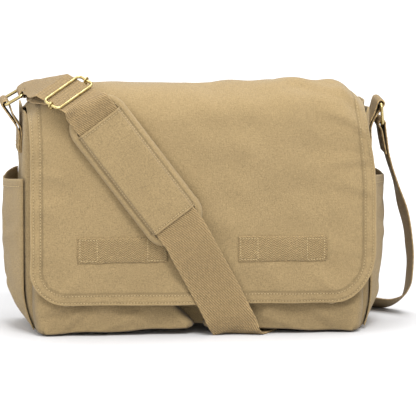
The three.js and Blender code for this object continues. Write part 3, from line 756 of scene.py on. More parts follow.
def build_shell():
    wall_panel("front_cloth", -1, lambda x: FRONT_TOP + 0 * x, "front_panel", 11)
    wall_panel("back_cloth", 1, lambda x: BACK_TOP - droop(x), "back_panel", 21)
    gusset_panel(-1, "left", 31)
    gusset_panel(1, "right", 41)
    u, v = np.meshgrid(np.linspace(-1, 1, 90), np.linspace(0, 1, 36))
    x = u * (SIDE_X - 8 - np.where(u < 0, 17, 11))
    y = FRONT_Y + 8 + v * (BACK_Y - FRONT_Y - 16)
    z = arch_height(x) + 0.6 + 0.35 * ripple(x, y, 51, 60) ** 2 * 0.4
    grid = np.stack([x, y, z], -1)[::-1]
    base = cloth("base_cloth", grid, grid[..., :2], CANVAS, 2.0)
    settle_in(base, "bag", "canvas", "base_panel")
    welts = [
        seam_welt(f"seam_welt_{'left' if side < 0 else 'right'}_{'front' if front else 'back'}", side, front)
        for side in (-1, 1) for front in (True, False)
    ]
    settle_in(join("seam_welts", welts), "bag", "canvas")


# ---- flap ----
FRONT_RUN = CREST_Z - SHOULDER_R - FLAP_BOTTOM
SHOULDER_RUN = SHOULDER_R * QUARTER
SHOULDER_Y = FLAP_FRONT_Y + SHOULDER_R
CREST_S = FRONT_RUN + SHOULDER_RUN - SHOULDER_Y
REAR_FLAT = REAR_OUT_Y - REAR_R
REAR_TURN = REAR_R * QUARTER
REAR_END = CREST_S + REAR_FLAT + REAR_TURN + REAR_DROP
HEM_WIDTH = 12.5
HEM_ROWS = (2.6, 10.4)


def flap_profile(s):
    """Place and outward direction on the flap's side profile, at length s from its front edge."""
    s = np.asarray(s, float)
    turn = np.clip((s - FRONT_RUN) / SHOULDER_R, 0, QUARTER)
    y = SHOULDER_Y - SHOULDER_R * np.cos(turn)
    z = np.where(s < FRONT_RUN, FLAP_BOTTOM + s, CREST_Z - SHOULDER_R + SHOULDER_R * np.sin(turn))
    ny, nz = -np.cos(turn), np.sin(turn)
    flat = s > FRONT_RUN + SHOULDER_RUN
    y = np.where(flat, s - CREST_S, y)
    rear = np.clip((s - CREST_S - REAR_FLAT) / REAR_R, 0, QUARTER)
    back = s > CREST_S + REAR_FLAT
    y = np.where(back, REAR_FLAT + REAR_R * np.sin(rear), y)
    z = np.where(back, CREST_Z - REAR_R + REAR_R * np.cos(rear), z)
    z = z - np.clip(s - CREST_S - REAR_FLAT - REAR_TURN, 0, None)
    return y, z, np.where(back, np.sin(rear), ny), np.where(back, np.cos(rear), nz)


def edge_distance(x, s):
    """How far inside the flap's outline a point is, and how far along the outline."""
    out, low = np.abs(x) - (FLAP_HALF - FLAP_CORNER), FLAP_CORNER - s
    corner = (out > 0) & (low > 0)
    depth = np.where(corner, FLAP_CORNER - np.hypot(out, low), np.minimum(FLAP_HALF - np.abs(x), s))
    arc = FLAP_HALF - FLAP_CORNER + FLAP_CORNER * np.arctan2(np.maximum(out, 0), np.maximum(low, 1e-6))
    side = FLAP_HALF - FLAP_CORNER + FLAP_CORNER * QUARTER + (s - FLAP_CORNER)
    run = np.where(low <= 0, side, np.where(out > 0, arc, np.abs(x)))
    return depth, run * np.sign(x)


def flap_lift(x, s):
    """Soft unevenness of the flap, its raised hem and the puckers along the stitching."""
    depth, run = edge_distance(x, s)
    calm = 1 - 0.75 * bump(x - (-70), 0, 75) * smooth(s / 30)
    lift = (1.4 * ripple(x, s, 61, 120) + 0.95 * ripple(x, s, 62, 46)) * calm
    lift += 1.4 * creases(x, s, FLAP_CREASES)
    lift -= 4.0 * smooth((np.abs(x) - 145) / 42) ** 2 * smooth((CREST_S - s) / 60)
    lift += 1.6 * bump(s, 0, 26) * (0.5 + 0.5 * ripple(x, 0 * s, 63, 130)) * calm
    hem = smooth((HEM_WIDTH - depth) / 1.3)
    pucker = 0.42 * np.sin(2 * math.pi * run / 13 + 1.3 * ripple(run, 0 * run, 64, 60))
    pucker = pucker * bump(depth, 6.2, 4.2) * (0.6 + 0.4 * ripple(run, 0 * run, 65, 45))
    inner_pucker = 0.3 * np.sin(2 * math.pi * run / 17 + 0.8) * bump(depth, 15, 6)
    grooves = sum(0.55 * bump(depth, at, 0.8) for at in HEM_ROWS)
    return lift + 0.95 * hem + pucker + inner_pucker - grooves


def crease(x, s, start, end, width, depth):
    """A soft fold line between two places, fading at both ends."""
    start, end = np.array(start, float), np.array(end, float)
    length = np.linalg.norm(end - start)
    along = (end - start) / length
    run = (x - start[0]) * along[0] + (s - start[1]) * along[1]
    aside = -(x - start[0]) * along[1] + (s - start[1]) * along[0]
    fade = smooth((run + 4) / 12) * smooth((length - run) / (0.6 * length))
    return depth * fade * (bump(aside, 0, width) - 0.6 * bump(aside, width * 1.5, width))


def creases(x, s, folds):
    """Each fold is (start, end, width, depth)."""
    return sum(crease(x, s, *fold) for fold in folds)


FLAP_CREASES = (
    ((183, 196), (118, 214), 6, 1.7),
    ((183, 160), (126, 150), 6, 1.5),
    ((184, 118), (138, 136), 5, 1.1),
    ((182, 232), (70, 262), 8, 1.9),
    ((150, 262), (40, 238), 9, 1.3),
    ((-183, 150), (-128, 132), 6, 1.3),
    ((-183, 104), (-136, 116), 5, 1.0),
    ((-20, 268), (90, 250), 9, 1.2),
    ((-150, 8), (-120, 44), 6, 0.9),
    ((150, 10), (112, 48), 6, 1.1),
    ((20, 4), (46, 52), 7, 0.8),
)


def flap_point(x, s, lift):
    """A point of the hanging flap, this far off its plain profile."""
    y, z, ny, nz = flap_profile(s)
    hang = np.where(s > CREST_S, 1.0, smooth((z - 150) / 100))
    sag = 2.2 * bump(y, 5, 40) * (1 - (x / FLAP_HALF) ** 2) + crest_fall(y) + 1.2 * smooth((s - 200) / 60)
    z = z + nz * lift - flap_droop(x) * hang - sag * (s > FRONT_RUN)
    lean = 7.0 * smooth((s - 8) / 50) - 12.0 * smooth((s - 120) / 140)
    tuck = 2.0 * smooth((s - 8) / 50) * smooth((250 - s) / 70)
    x = x + np.where(x > 0, lean, tuck) * smooth((np.abs(x) - 140) / 45)
    return stacked(x, y + ny * lift, z)


def flap_half_width(s):
    low = np.clip(FLAP_CORNER - s, 0, FLAP_CORNER)
    return FLAP_HALF - FLAP_CORNER + np.sqrt(FLAP_CORNER ** 2 - low ** 2)


def flap_surface(x, s, more=0.0):
    return flap_point(x, s, flap_lift(x, s) + more)


def flap_outline(depth):
    """Points along a line that keeps this distance inside the flap's sides and front edge."""
    top = CREST_S + REAR_FLAT + REAR_TURN
    half, corner = FLAP_HALF - depth, FLAP_CORNER - depth
    straight, arc = top - FLAP_CORNER, corner * QUARTER
    total = 2 * straight + 2 * arc + 2 * (FLAP_HALF - FLAP_CORNER)
    xs, ss = [], []
    for run in np.linspace(0, total, 460):
        side, at = -1, run
        if run > total / 2:
            side, at = 1, total - run
        if at < straight:
            x, s = half, top - at
        elif at < straight + arc:
            turn = (at - straight) / corner
            x, s = half - corner + corner * math.cos(turn), FLAP_CORNER - corner * math.sin(turn)
        else:
            x, s = FLAP_HALF - FLAP_CORNER - (at - straight - arc), depth
        xs.append(side * x)
        ss.append(s)
    return np.array(xs), np.array(ss)


def surface_row(name, xs, ss, lift, **options):
    here = flap_surface(xs, ss, lift)
    normals = unit(flap_surface(xs, ss, lift + 1.0) - here)
    return stitches(name, here, normals, **options)


def bend(piece, start, end):
    """Bakes the piece's placement into its mesh; the start and end points have no effect."""
    tuple(in_frame(start))
    tuple(in_frame(end))
    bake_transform(piece)


def bend_flap(piece):
    """Bakes the flap piece's placement into its mesh; the flap's shape already goes over the middle of the
    bag's top.
    """
    half_bend = 34.0
    bend(piece, vec(0, half_bend, CREST_Z), vec(0, -half_bend, CREST_Z))


def build_flap():
    edge = np.concatenate([np.linspace(0, 15, 14), np.linspace(18, 46, 12)[:-1]])
    inner = np.linspace(46, 2 * FLAP_HALF - 46, 84)
    u = np.concatenate([edge, inner, 2 * FLAP_HALF - edge[::-1]]) / FLAP_HALF - 1
    low = np.concatenate([np.linspace(0, 15, 14), np.linspace(17, 44, 14)])
    s = np.concatenate([low, np.linspace(47, FRONT_RUN, 48), np.linspace(FRONT_RUN, REAR_END, 80)[1:]])
    half = flap_half_width(s)[:, None]
    x, s = u[None, :] * half, np.broadcast_to(s[:, None], (len(s), len(u)))
    grid = flap_surface(x, s)
    depth, _ = edge_distance(x, s)
    # Paler along the worn edge; painted shade in the stitch grooves and below the hem's step; painted
    # highlight on the hem's raised middle and over the top shoulder.
    wear_and_painted_light = 0.7 * bump(depth, 0, 2.0) - sum(0.7 * bump(depth, at, 0.9) for at in HEM_ROWS)
    wear_and_painted_light = wear_and_painted_light - 0.8 * bump(depth, HEM_WIDTH + 0.4, 0.9) + 0.2 * bump(depth, 6.3, 2.2)
    wear_and_painted_light = wear_and_painted_light + 0.3 * bump(s, FRONT_RUN + 10, 60)
    uv = np.stack([x, s], -1)
    flap = cloth("flap_cloth", grid, uv, CANVAS, FLAP_CLOTH, wear_and_painted_light=wear_and_painted_light)
    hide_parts("flap_panel", "flap_rear", "flap_hem")
    bend_flap(flap)
    rows = []
    for at in HEM_ROWS:
        xs, ss = flap_outline(at)
        rows.append(surface_row(f"flap_stitch_{at}", xs, ss, 0.12))
    xs = np.linspace(-FLAP_HALF + 14, FLAP_HALF - 14, 300)
    rows.append(surface_row("flap_stitch_seam", xs, np.full(300, REAR_END - 6.0), 0.1))
    seams = join("flap_stitching", rows)
    bend_flap(seams)


STRIP_LOW, STRIP_HIGH = 81.5, 108.5
STRIP_SPANS = {"left": (-133.0, -36.0), "right": (42.0, 138.0)}
BOX_END = 21.0
BOX_START = 2.2
BOX_SIDE = 0.84


def build_flap_strips():
    """Webbing strips box-stitched at both ends, their middles left free."""
    for number, (name, (low, high)) in enumerate(STRIP_SPANS.items()):
        a, b = np.linspace(0, 1, 81), np.linspace(-1, 1, 25)
        x, b = np.meshgrid(low + a * (high - low), b)
        middle = smooth((x - low - BOX_END) / 9) * smooth((high - BOX_END - x) / 9)
        bow = 1.1 * middle * (1 - b ** 4)
        pinch = 0.5 * middle
        z = (STRIP_LOW + STRIP_HIGH) / 2 + b * ((STRIP_HIGH - STRIP_LOW) / 2 - pinch)
        z = z + 0.35 * ripple(x, 0 * x, 71 + number, 40) + (x - low) * 0.006
        s = z - FLAP_BOTTOM
        crown = 0.45 * (1 - np.abs(b) ** 6)
        lift = 1.35 + bow + crown * 0.6 + 0.12 * ripple(x, z, 73 + number, 7)
        for at in (x - low, high - x):
            lift = lift - 0.4 * bump(at, BOX_START, 0.8) - 0.4 * bump(at, BOX_END, 0.8)
        boxes = 1 - middle
        lift = lift - 0.35 * boxes * bump(np.abs(b), BOX_SIDE, 0.06)
        outer, inner = flap_surface(x, s, lift), flap_surface(x, s, lift - 1.5)
        # Paler along the worn edges; painted shade along the box stitching.
        wear_and_painted_light = 0.5 * bump(np.abs(b), 1, 0.05) - 0.3 * boxes * bump(np.abs(b), BOX_SIDE, 0.06)
        uv = np.stack([z, x], -1)
        strip = cloth(f"flap_strip_{name}", outer, uv, TWILL, inner=inner, wear_and_painted_light=wear_and_painted_light)
        settle_in(strip, "flap", "webbing", f"flap_webbing_{name}")
        rows = []
        for first, last in ((low + BOX_START, low + BOX_END), (high - BOX_END, high - BOX_START)):
            corners = [(first, -BOX_SIDE), (last, -BOX_SIDE), (last, BOX_SIDE), (first, BOX_SIDE)]
            corners.append(corners[0])
            path = np.array([
                (p[0] + (q[0] - p[0]) * t, p[1] + (q[1] - p[1]) * t)
                for p, q in zip(corners, corners[1:]) for t in np.linspace(0, 1, 12)
            ])
            zs = (STRIP_LOW + STRIP_HIGH) / 2 + path[:, 1] * (STRIP_HIGH - STRIP_LOW) / 2
            zs = zs + 0.35 * ripple(path[:, 0], 0 * path[:, 0], 71 + number, 40)
            row = surface_row(
                f"box_{name}_{first}", path[:, 0], zs - FLAP_BOTTOM, 1.6, pitch=3.1, length=2.1, radius=0.48
            )
            rows.append(row)
        settle_in(join(f"flap_strip_{name}_stitching", rows), "flap", "webbing")


def build_tapes():
    """Hook tape inside the flap and loop tape on the pockets behind it."""
    for name, (low, high) in STRIP_SPANS.items():
        for kind, y, deep, margin, material, body in (
            ("hook", -73.1, 1.3, 0.0, HOOKS, "flap"),
            ("loop", -71.4, 1.1, 6.0, LOOPS, "bag"),
        ):
            x, z = np.meshgrid(
                np.linspace(low + margin, high - margin, 49),
                np.linspace(STRIP_LOW - margin, STRIP_HIGH + margin, 19),
            )
            pile = 0.12 * ripple(x, z, 81, 3.0)
            front = np.stack([x, y - pile, z], -1)
            back = np.stack([x, y + deep + 0 * x, z], -1)
            uv = front[..., [0, 2]]
            node = f"flap_hook_{name}" if kind == "hook" else f"pocket_loop_{name}"
            piece = cloth(f"{kind}_tape_{name}", front, uv, material, inner=back)
            settle_in(piece, body, "hook_and_loop", node)


# ---- pockets ----
POCKET_TOP = 214.0
POCKET_SHADE = 0.25
POCKET_CREASES = (
    ((150, 4), (112, 40), 5, 1.6),
    ((60, 2), (84, 34), 5, 1.4),
    ((110, 3), (60, 18), 4, 1.2),
    ((174, 26), (134, 32), 5, 1.3),
)


def front_pocket(name, side, seed):
    """Pleated pocket: a face that rounds back to the bag at its sides and bottom."""
    u = np.linspace(-1, 1, 97)[None, :]
    v = np.concatenate([1 - np.cos(np.linspace(0, QUARTER, 50)[:28]), np.linspace(0.37, 1, 44)])[:, None]
    top = POCKET_TOP
    z0 = v * top
    inner_edge = 3.0 + 24.0 * smooth(z0 / 36)
    outer_edge = 181.0 - 3.0 * smooth((30 - z0) / 30)
    corner = 9.0
    low = np.clip(corner - z0, 0, corner)
    cut = corner - np.sqrt(corner ** 2 - low ** 2)
    near, far = inner_edge + cut, outer_edge - cut
    x0 = (near + far) / 2 + np.sin(u * QUARTER) * (far - near) / 2
    sideways = np.minimum(x0 - inner_edge, outer_edge - x0)
    dx = np.maximum(corner - sideways, 0)
    depth = np.where((dx > 0) & (low > 0), corner - np.hypot(dx, low), np.minimum(sideways, 3 * z0))
    dome = np.cbrt(np.clip(1 - (1 - np.clip(depth / 12.0, 0, 1)) ** 3, 0, 1))
    foot = 0.7 + 5.0 * (1 - np.clip(x0 / 176.0, 0, 1) ** 1.5)
    z = z0 + (foot + 0.5 * ripple(x0, 0 * x0, seed, 55)) * (1 - v) ** 2
    z = np.maximum(z, 0.4)
    fold = bump((x0 - inner_edge) * 0.8 + (z0 - 20) * 0.6, 22, 10) * smooth((60 - z0) / 40)
    folds = creases(x0, z0, POCKET_CREASES)
    sag = 2.2 * fold + 0.9 * ripple(x0, z0, seed + 1, 42) * smooth((70 - z0) / 50) - folds
    y = FRONT_Y - 1.0 - 20.0 * dome + sag * dome
    hem_at = top - z0
    y = y - 0.6 * smooth((12 - hem_at) / 1.5) * dome
    grid = stacked(side * x0, y, z)
    if side < 0:
        grid = grid[:, ::-1]
    uv = grid[..., [0, 2]]
    # Paler round the lower rounded edge; painted shade along the pocket's outline and, by POCKET_SHADE, over
    # the whole pocket, which sits below the flap.
    wear_and_painted_light = spread(0.3 * bump(depth, 9, 5) * smooth((40 - z0) / 30), grid)
    wear_and_painted_light = wear_and_painted_light - 0.4 * bump(np.broadcast_to(depth, wear_and_painted_light.shape), 0.5, 1.5) - POCKET_SHADE
    wear_and_painted_light = wear_and_painted_light if side > 0 else wear_and_painted_light[:, ::-1]
    piece = cloth(f"front_pocket_cloth_{name}", grid, uv, CANVAS, PANEL_PLY, wear_and_painted_light=wear_and_painted_light)
    settle_in(piece, "bag", "canvas", f"front_pocket_{name}_face", f"front_pocket_{name}_band")


SIDE_MOUTH = 168.0
SIDE_FOOT = 4.0
SIDE_SEAM = 8.6


def side_pocket(name, side, belly, seed):
    """Pouch on the gusset, its mouth held open by a folded hem."""
    u = np.linspace(0, 1, 73)[None, :]
    v = np.linspace(0, 1, 84)[:, None]
    round_u = np.sin(math.pi * u) ** 0.75
    z = SIDE_FOOT + (SIDE_MOUTH + 2 - SIDE_FOOT) * v - 5.0 * np.sin(math.pi * u) * v ** 2
    swell = belly * round_u * (1 - (1 - v) ** 4) * (1 - 0.10 * v)
    soft = 0.7 * ripple(u * 110, z * 0.35, seed, 50) + 0.3 * ripple(u * 110, z, seed + 1, 24)
    soft = soft + creases(110 * u - 44, z, GUSSET_CREASES)
    swell = swell + soft * round_u * smooth(v * 8)
    hem_at = (1 - v) * (SIDE_MOUTH - SIDE_FOOT)
    hem = 0.7 * smooth((10.5 - hem_at) / 1.2) - 0.45 * bump(hem_at, SIDE_SEAM, 0.8)
    swell = swell + hem * round_u
    x = side * (SIDE_X + 0.4 - side_inset(side, z) + swell + 1.2)
    y = -44 + 110 * u + 0 * v
    grid = stacked(x, y, z)
    if side < 0:
        grid = grid[:, ::-1]
    uv = grid[..., [1, 2]] * vec(side, 1)
    # Paler along the worn hem edge; painted shade in the seam groove.
    wear_and_painted_light = spread(0.6 * bump(hem_at, 0, 1.6) - 0.6 * bump(hem_at, SIDE_SEAM, 0.9), grid)
    piece = cloth(f"side_pocket_cloth_{name}", grid, uv, CANVAS, 1.6, wear_and_painted_light=wear_and_painted_light)
    settle_in(piece, "bag", "canvas", f"side_pocket_{name}")
    seam_row = int(round((len(v) - 1) * (1 - SIDE_SEAM / (SIDE_MOUTH - SIDE_FOOT))))
    row = grid[seam_row][3:-3] + vec(side * 0.15, 0, 0)
    seam = stitches(f"side_pocket_stitching_{name}", row, vec(side, 0, 0), 3.6)
    settle_in(seam, "bag", "canvas")


# ---- hardware and tabs ----
FOLDED_WEBBING = 2.0
RIGHT_BAR = vec(204, RING_Y, 245.5)
RIGHT_DOWN = unit(vec(0.06, 0, -1))
LEFT_BAR = vec(-207.6, RING_Y, 249)
LEFT_IN = unit(vec(19, 0, 11))
ACROSS = vec(0, 1, 0)
SLIDE_CENTRE = vec(-142.5, -75.5, 266)
SLIDE_WIRE = 1.55
RING_WIRE = 1.8
SLIDE_ALONG = unit(vec(0.71, -0.6, -0.375))
SLIDE_ACROSS = vec(0.7, 0.585, 0.39)
SLIDE_ACROSS = unit(SLIDE_ACROSS - SLIDE_ALONG * SLIDE_ACROSS.dot(SLIDE_ALONG))
SLIDE_UP = unit(np.cross(SLIDE_ALONG, SLIDE_ACROSS))


def rounded_loop(centre, side_a, half_a, side_b, half_b, corner, steps=9):
    """A rectangle with rounded corners, as a closed path."""
    points = []
    for sign_a, sign_b, quarter in ((1, 1, 0), (-1, 1, 1), (-1, -1, 2), (1, -1, 3)):
        for t in np.linspace(0, 1, steps):
            turn = (quarter + t) * QUARTER
            a = sign_a * (half_a - corner) + math.cos(turn) * corner
            b = sign_b * (half_b - corner) + math.sin(turn) * corner
            points.append(centre + side_a * a + side_b * b)
        start = points[-1]
        if quarter in (0, 2):
            end = start - side_a * sign_a * 2 * (half_a - corner)
        else:
            end = start - side_b * sign_b * 2 * (half_b - corner)
        points += [start + (end - start) * t for t in np.linspace(0, 1, 6)[1:-1]]
    return np.array(points)


def build_hardware():
    for name, bar, towards in (("left", LEFT_BAR, LEFT_IN), ("right", RIGHT_BAR, RIGHT_DOWN)):
        normal = unit(np.cross(towards, ACROSS))
        loop = rounded_loop(bar + towards * RING_PITCH / 2, towards, RING_PITCH / 2, ACROSS, RING_REACH, 4.5)
        ring = wire(f"ring_wire_{name}", loop, RING_WIRE, normal, True, BRASS)
        settle_in(ring, f"{name}_ring", "brass", f"ring_{name}")
    lift = WEBBING / 2 + 0.3 + SLIDE_WIRE
    loop = rounded_loop(SLIDE_CENTRE + SLIDE_UP * lift, SLIDE_ALONG, 10.4, SLIDE_ACROSS, RING_REACH, 5.0)
    frame_wire = wire("slide_frame_wire", loop, SLIDE_WIRE, SLIDE_UP, True, BRASS)
    settle_in(frame_wire, "buckle", "brass", "slide_frame")
    low, top = -(WEBBING / 2 + 0.3 + 1.5), lift - SLIDE_WIRE - 0.2
    ends = [(-1, top), (-1, low + 2.0), (-0.985, low + 0.8), (-0.95, low + 0.15), (-0.9, low)]
    shape = ends + [(a, low) for a in np.linspace(-0.8, 0.8, 9)] + [(-a, h) for a, h in reversed(ends)]
    path = [SLIDE_CENTRE + SLIDE_ACROSS * a * RING_REACH + SLIDE_UP * h for a, h in shape]
    bar = wire("slide_bar_wire", path, 1.5, SLIDE_ALONG, False, BRASS)
    eyes = []
    for end in (-1, 1):
        middle = SLIDE_CENTRE + SLIDE_ACROSS * RING_REACH * end + SLIDE_UP * lift
        turns = np.linspace(0, 2 * math.pi, 25)[:-1]
        loop = [middle + (SLIDE_ACROSS * math.cos(t) + SLIDE_UP * math.sin(t)) * 2.9 for t in turns]
        eyes.append(wire(f"slide_eye_{end}", loop, 0.95, SLIDE_ALONG, True, BRASS, 10))
    settle_in(join("slide_bar_wire", [bar] + eyes), "buckle", "brass", "slide_bar")


def cross_row(x, z):
    """A stitching line straight across webbing that hangs from a ring."""
    y = np.linspace(RING_Y - 22, RING_Y + 22, 30)
    return np.stack([np.full(30, x), y, np.full(30, z)], -1)


def ring_tab(name, side, bar):
    """Webbing up the gusset, round the ring's bar and down outside itself."""
    inner = SIDE_X + 0.3 + WEBBING / 2
    outer = inner + WEBBING + 0.3
    bar_x = abs(bar[0])
    path = [(inner, 196), (inner, 208), (inner, 222), (inner + (bar_x - inner) * 0.42, 233.5)]
    lean = math.atan2(bar[2] - 224, bar_x - inner - TAB_LOOP) + QUARTER
    for t in np.linspace(0, 1, 9):
        turn = lean - t * math.pi * 1.08
        path.append((bar_x + TAB_LOOP * math.cos(turn), bar[2] + TAB_LOOP * math.sin(turn)))
    path += [(outer + (bar_x - inner) * 0.34, 230), (outer, 219), (outer, 208), (outer, 196)]
    knots = [(vec(side * x, RING_Y, z), vec(0, -side, 0)) for x, z in path]
    piece = band(f"ring_tab_webbing_{name}", band_stations(knots, 120), FOLDED_WEBBING, seed=90)
    settle_in(piece, "bag", "webbing", f"ring_tab_{name}")
    rows = []
    for z in (199.5, 203.5, 224.0):
        row = cross_row(side * (outer + 1.25), z)
        rows.append(stitches(f"tab_row_{z}", row, vec(side, 0, 0), 3.0))
    settle_in(join(f"ring_tab_stitching_{name}", rows), "bag", "webbing")


# ---- strap ----
PAD_CENTRE = vec(-70, 0, 183)
PAD_ALONG = vec(math.cos(PAD_SLOPE), 0, -math.sin(PAD_SLOPE))
PAD_ACROSS = vec(math.sin(PAD_SLOPE), 0, math.cos(PAD_SLOPE))
RUN_ALONG = vec(math.cos(RUN_SLOPE), 0, -math.sin(RUN_SLOPE))
RUN_ACROSS = vec(math.sin(RUN_SLOPE), 0, math.cos(RUN_SLOPE))
FLOOR_ACROSS = vec(0.87, -0.5, 0)
BACK = vec(0, -1, 0)


def on_pad(along, across, y):
    """A point on the pad's own axes, at this depth."""
    point = PAD_CENTRE + np.multiply.outer(along, PAD_ALONG) + np.multiply.outer(across, PAD_ACROSS)
    point[..., 1] = y
    return point


def on_run(along, y):
    """A point on the strap below the pad."""
    return on_pad(88, 0, y) + RUN_ALONG * along


def on_slide(along):
    return SLIDE_CENTRE + SLIDE_ALONG * along


def flap_top_at(x, y):
    """Height of the flap's top, or far below where there is no flap."""
    over = np.minimum(0, y - SHOULDER_Y)
    fall = SHOULDER_R - np.sqrt(np.maximum(0, SHOULDER_R ** 2 - over ** 2))
    top = CREST_Z - fall - droop(np.minimum(np.abs(x), FLAP_HALF)) - crest_fall(y)
    return np.where((np.abs(x) > FLAP_HALF + 1) | (y < FLAP_FRONT_Y - 1), -1000, top)


def lay_on_flap(clearance):
    """Keeps webbing this far above the flap's top."""
    def settle(grid, side):
        floor = flap_top_at(grid[..., 0], grid[..., 1]) + clearance + (WEBBING + 0.3 if side > 0 else 0)
        out = grid.copy()
        out[..., 2] = np.maximum(out[..., 2], floor)
        return out
    return settle


def lay_on_floor(grid, side):
    """Keeps webbing out of the ground."""
    out = grid.copy()
    out[..., 2] = np.maximum(out[..., 2], 0.3 if side > 0 else WEBBING)
    return out


def around(centre, degrees):
    """Place of webbing that goes round a ring's bar, seen along the bar."""
    turn = math.radians(degrees)
    return centre + vec(TAB_LOOP * math.cos(turn), 0, TAB_LOOP * math.sin(turn))


def split(stations, at):
    path, across = stations
    return (path[:at + 1], across[:at + 1]), (path[at:], across[at:])


def build_strap():
    front = [(on_slide(d), SLIDE_ACROSS) for d in (-24, -12, 0, 12, 17)]
    front += [(on_pad(-86, 0, STRAP_Y - 3.0), PAD_ACROSS)]
    front += [(on_pad(d, 0, STRAP_Y), PAD_ACROSS) for d in (-76, -40, 0, 40, 88)]
    front += [(on_run(d, y), RUN_ACROSS) for d, y in ((12, -88.6), (28, -86.4), (56, -81.5), (78, -80.0))]
    front += [
        (vec(28, -79.5, 28), vec(0.87, 0, 0.48)),
        (vec(37, -77, 11), vec(0.87, -0.15, 0.38)),
        (vec(42, -70, 3), vec(0.87, -0.38, 0.1)),
    ]
    floor = [
        (vec(49, -60, 1.4), FLOOR_ACROSS),
        (vec(83, 0, 1.4), FLOOR_ACROSS),
        (vec(118, 62, 1.4), FLOOR_ACROSS),
        (vec(129, 80, 1.6), FLOOR_ACROSS),
        (vec(146, 97, 2.2), vec(0.84, -0.54, 0.03)),
        (vec(170, 106, 4), vec(0.55, -0.8, 0.22)),
        (vec(198, 99, 7), vec(0.2, -0.88, 0.36)),
        (vec(224, 76, 9), vec(0.02, -0.93, 0.32)),
        (vec(239, 52, 22), vec(0, -0.95, 0.28)),
        (vec(243, 35, 50), BACK),
        (vec(241, 23, 86), vec(0.05, -1, 0)),
        (vec(233, 13, 124), vec(0.1, -1, 0)),
        (vec(223.5, 7, 156), BACK),
        (vec(216.5, RING_Y, 176), BACK),
        (vec(212.5, RING_Y, 192), BACK),
    ]
    knots = front + floor
    long_band = band("strap_webbing", band_stations(knots, 520), WEBBING, lay_on_floor)
    settle_in(long_band, "strap", "webbing", "strap_front", "strap_under", "strap_right_lower")

    inner = RIGHT_BAR + RIGHT_DOWN * RING_PITCH
    right = [(vec(212.5, RING_Y, 192), BACK), (vec(210.6, RING_Y, 209), BACK)]
    right += [(around(inner, d), BACK) for d in (-20, 20, 60, 100, 140, 180)]
    right += [(vec(205, RING_Y, 216), BACK), (vec(207, RING_Y, 205), BACK), (vec(209.9, RING_Y, 190), BACK)]
    path, across = band_stations(right, 130)
    high = np.nonzero(path[:, 2] > inner[2] - 9)[0]
    cuts = (0, high[0], high[-1], len(path) - 1)
    leg_start, leg_end = inner + vec(2, 0, -8), inner + vec(8, 0, -29)
    fold_rows = []
    for number, name in enumerate(("outer", "loop", "inner")):
        part = slice(cuts[number], cuts[number + 1] + 1)
        piece = band(f"strap_webbing_right_{name}", (path[part], across[part]), FOLDED_WEBBING, seed=3)
        if name == "loop":
            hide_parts("strap_right_upper")
            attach(piece, "bag")
        else:
            bend(piece, leg_start, leg_end)
    for height in (198.5, 207.0):
        row = cross_row(np.interp(height, [192, 209], [212.5, 210.6]) + 1.2, height)
        fold_rows.append(stitches(f"fold_row_{height}", row, vec(1, 0, 0.1), 3.0))
    seam = join("strap_fold_stitching", fold_rows)
    bend(seam, leg_start, leg_end)

    ring_in = LEFT_BAR + LEFT_IN * RING_PITCH
    upper = [(around(ring_in, d), ACROSS) for d in (258, 230, 200, 170, 140)]
    upper += [
        (vec(-187, RING_Y - 3, 266), vec(0.05, 1, 0.04)),
        (vec(-179, -12, 267.5), vec(0.35, 0.9, 0.2)),
        (vec(-169, -38, 270), vec(0.58, 0.76, 0.36)),
        (on_slide(-24), SLIDE_ACROSS),
    ]
    lower = [
        (ring_in + vec(0.8, 0, -TAB_LOOP - 0.3), ACROSS),
        (vec(-184, RING_Y - 2, 257), vec(0.05, 1, 0)),
        (vec(-177, -12, 260), vec(0.3, 0.93, 0.2)),
        (vec(-165, -40, 264), vec(0.55, 0.78, 0.36)),
        (on_slide(-9) - SLIDE_UP * 4, SLIDE_ACROSS),
    ]
    for layer, knots, count, cut, clearance, thickness in (
        ("upper", upper, 121, 75, 4.6, WEBBING),
        ("lower", lower, 70, 26, 1.7, 1.8),
    ):
        near, far = split(band_stations(knots, count), cut)
        settle = lay_on_flap(clearance)
        turn = near[0][-1]
        piece = band(f"strap_webbing_left_{layer}_ring", near, thickness, settle, seed=4)
        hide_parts(f"strap_left_{layer}")
        bend(piece, vec(-188, 4, 262), turn)
        piece = band(f"strap_webbing_left_{layer}_slide", far, thickness, settle, seed=4)
        bend(piece, turn, vec(-160, -55, 270))


# ---- shoulder pad ----
PAD_HALF_LENGTH = 90.0
PAD_HALF_WIDTH = 33.0
PAD_CORNER = 24.0
PAD_STITCH = 3.2
COVER_HALF_LENGTH = 67.5
COVER_HALF_WIDTH = 28.5
COVER_EDGE_Y = -87.5
COVER_RISE = 4.6
COVER_SIDE_SEAM = 2.2
COVER_END_SEAM = 3.2
# Each point of the binding's section: how far outside the pad's outline it is, and its depth.
BINDING_SECTION = (
    (-7.0, -85.6), (-6.2, -86.7), (-3.0, -86.6), (-0.4, -85.4), (1.0, -83.2),
    (1.3, -81.4), (0.9, -79.4), (-0.4, -78.3), (-3.0, -78.2), (-6.0, -78.3),
)


def pad_half_width(along):
    over = np.clip(np.abs(along) - (PAD_HALF_LENGTH - PAD_CORNER), 0, PAD_CORNER)
    return PAD_HALF_WIDTH - PAD_CORNER + np.sqrt(PAD_CORNER ** 2 - over ** 2)


def pad_depth(along, across):
    """How far inside the pad's outline a point is."""
    a = np.abs(along) - (PAD_HALF_LENGTH - PAD_CORNER)
    b = np.abs(across) - (PAD_HALF_WIDTH - PAD_CORNER)
    corner = PAD_CORNER - np.hypot(np.maximum(a, 0), np.maximum(b, 0))
    plain = np.minimum(PAD_HALF_LENGTH - np.abs(along), PAD_HALF_WIDTH - np.abs(across))
    return np.where((a > 0) & (b > 0), corner, plain)


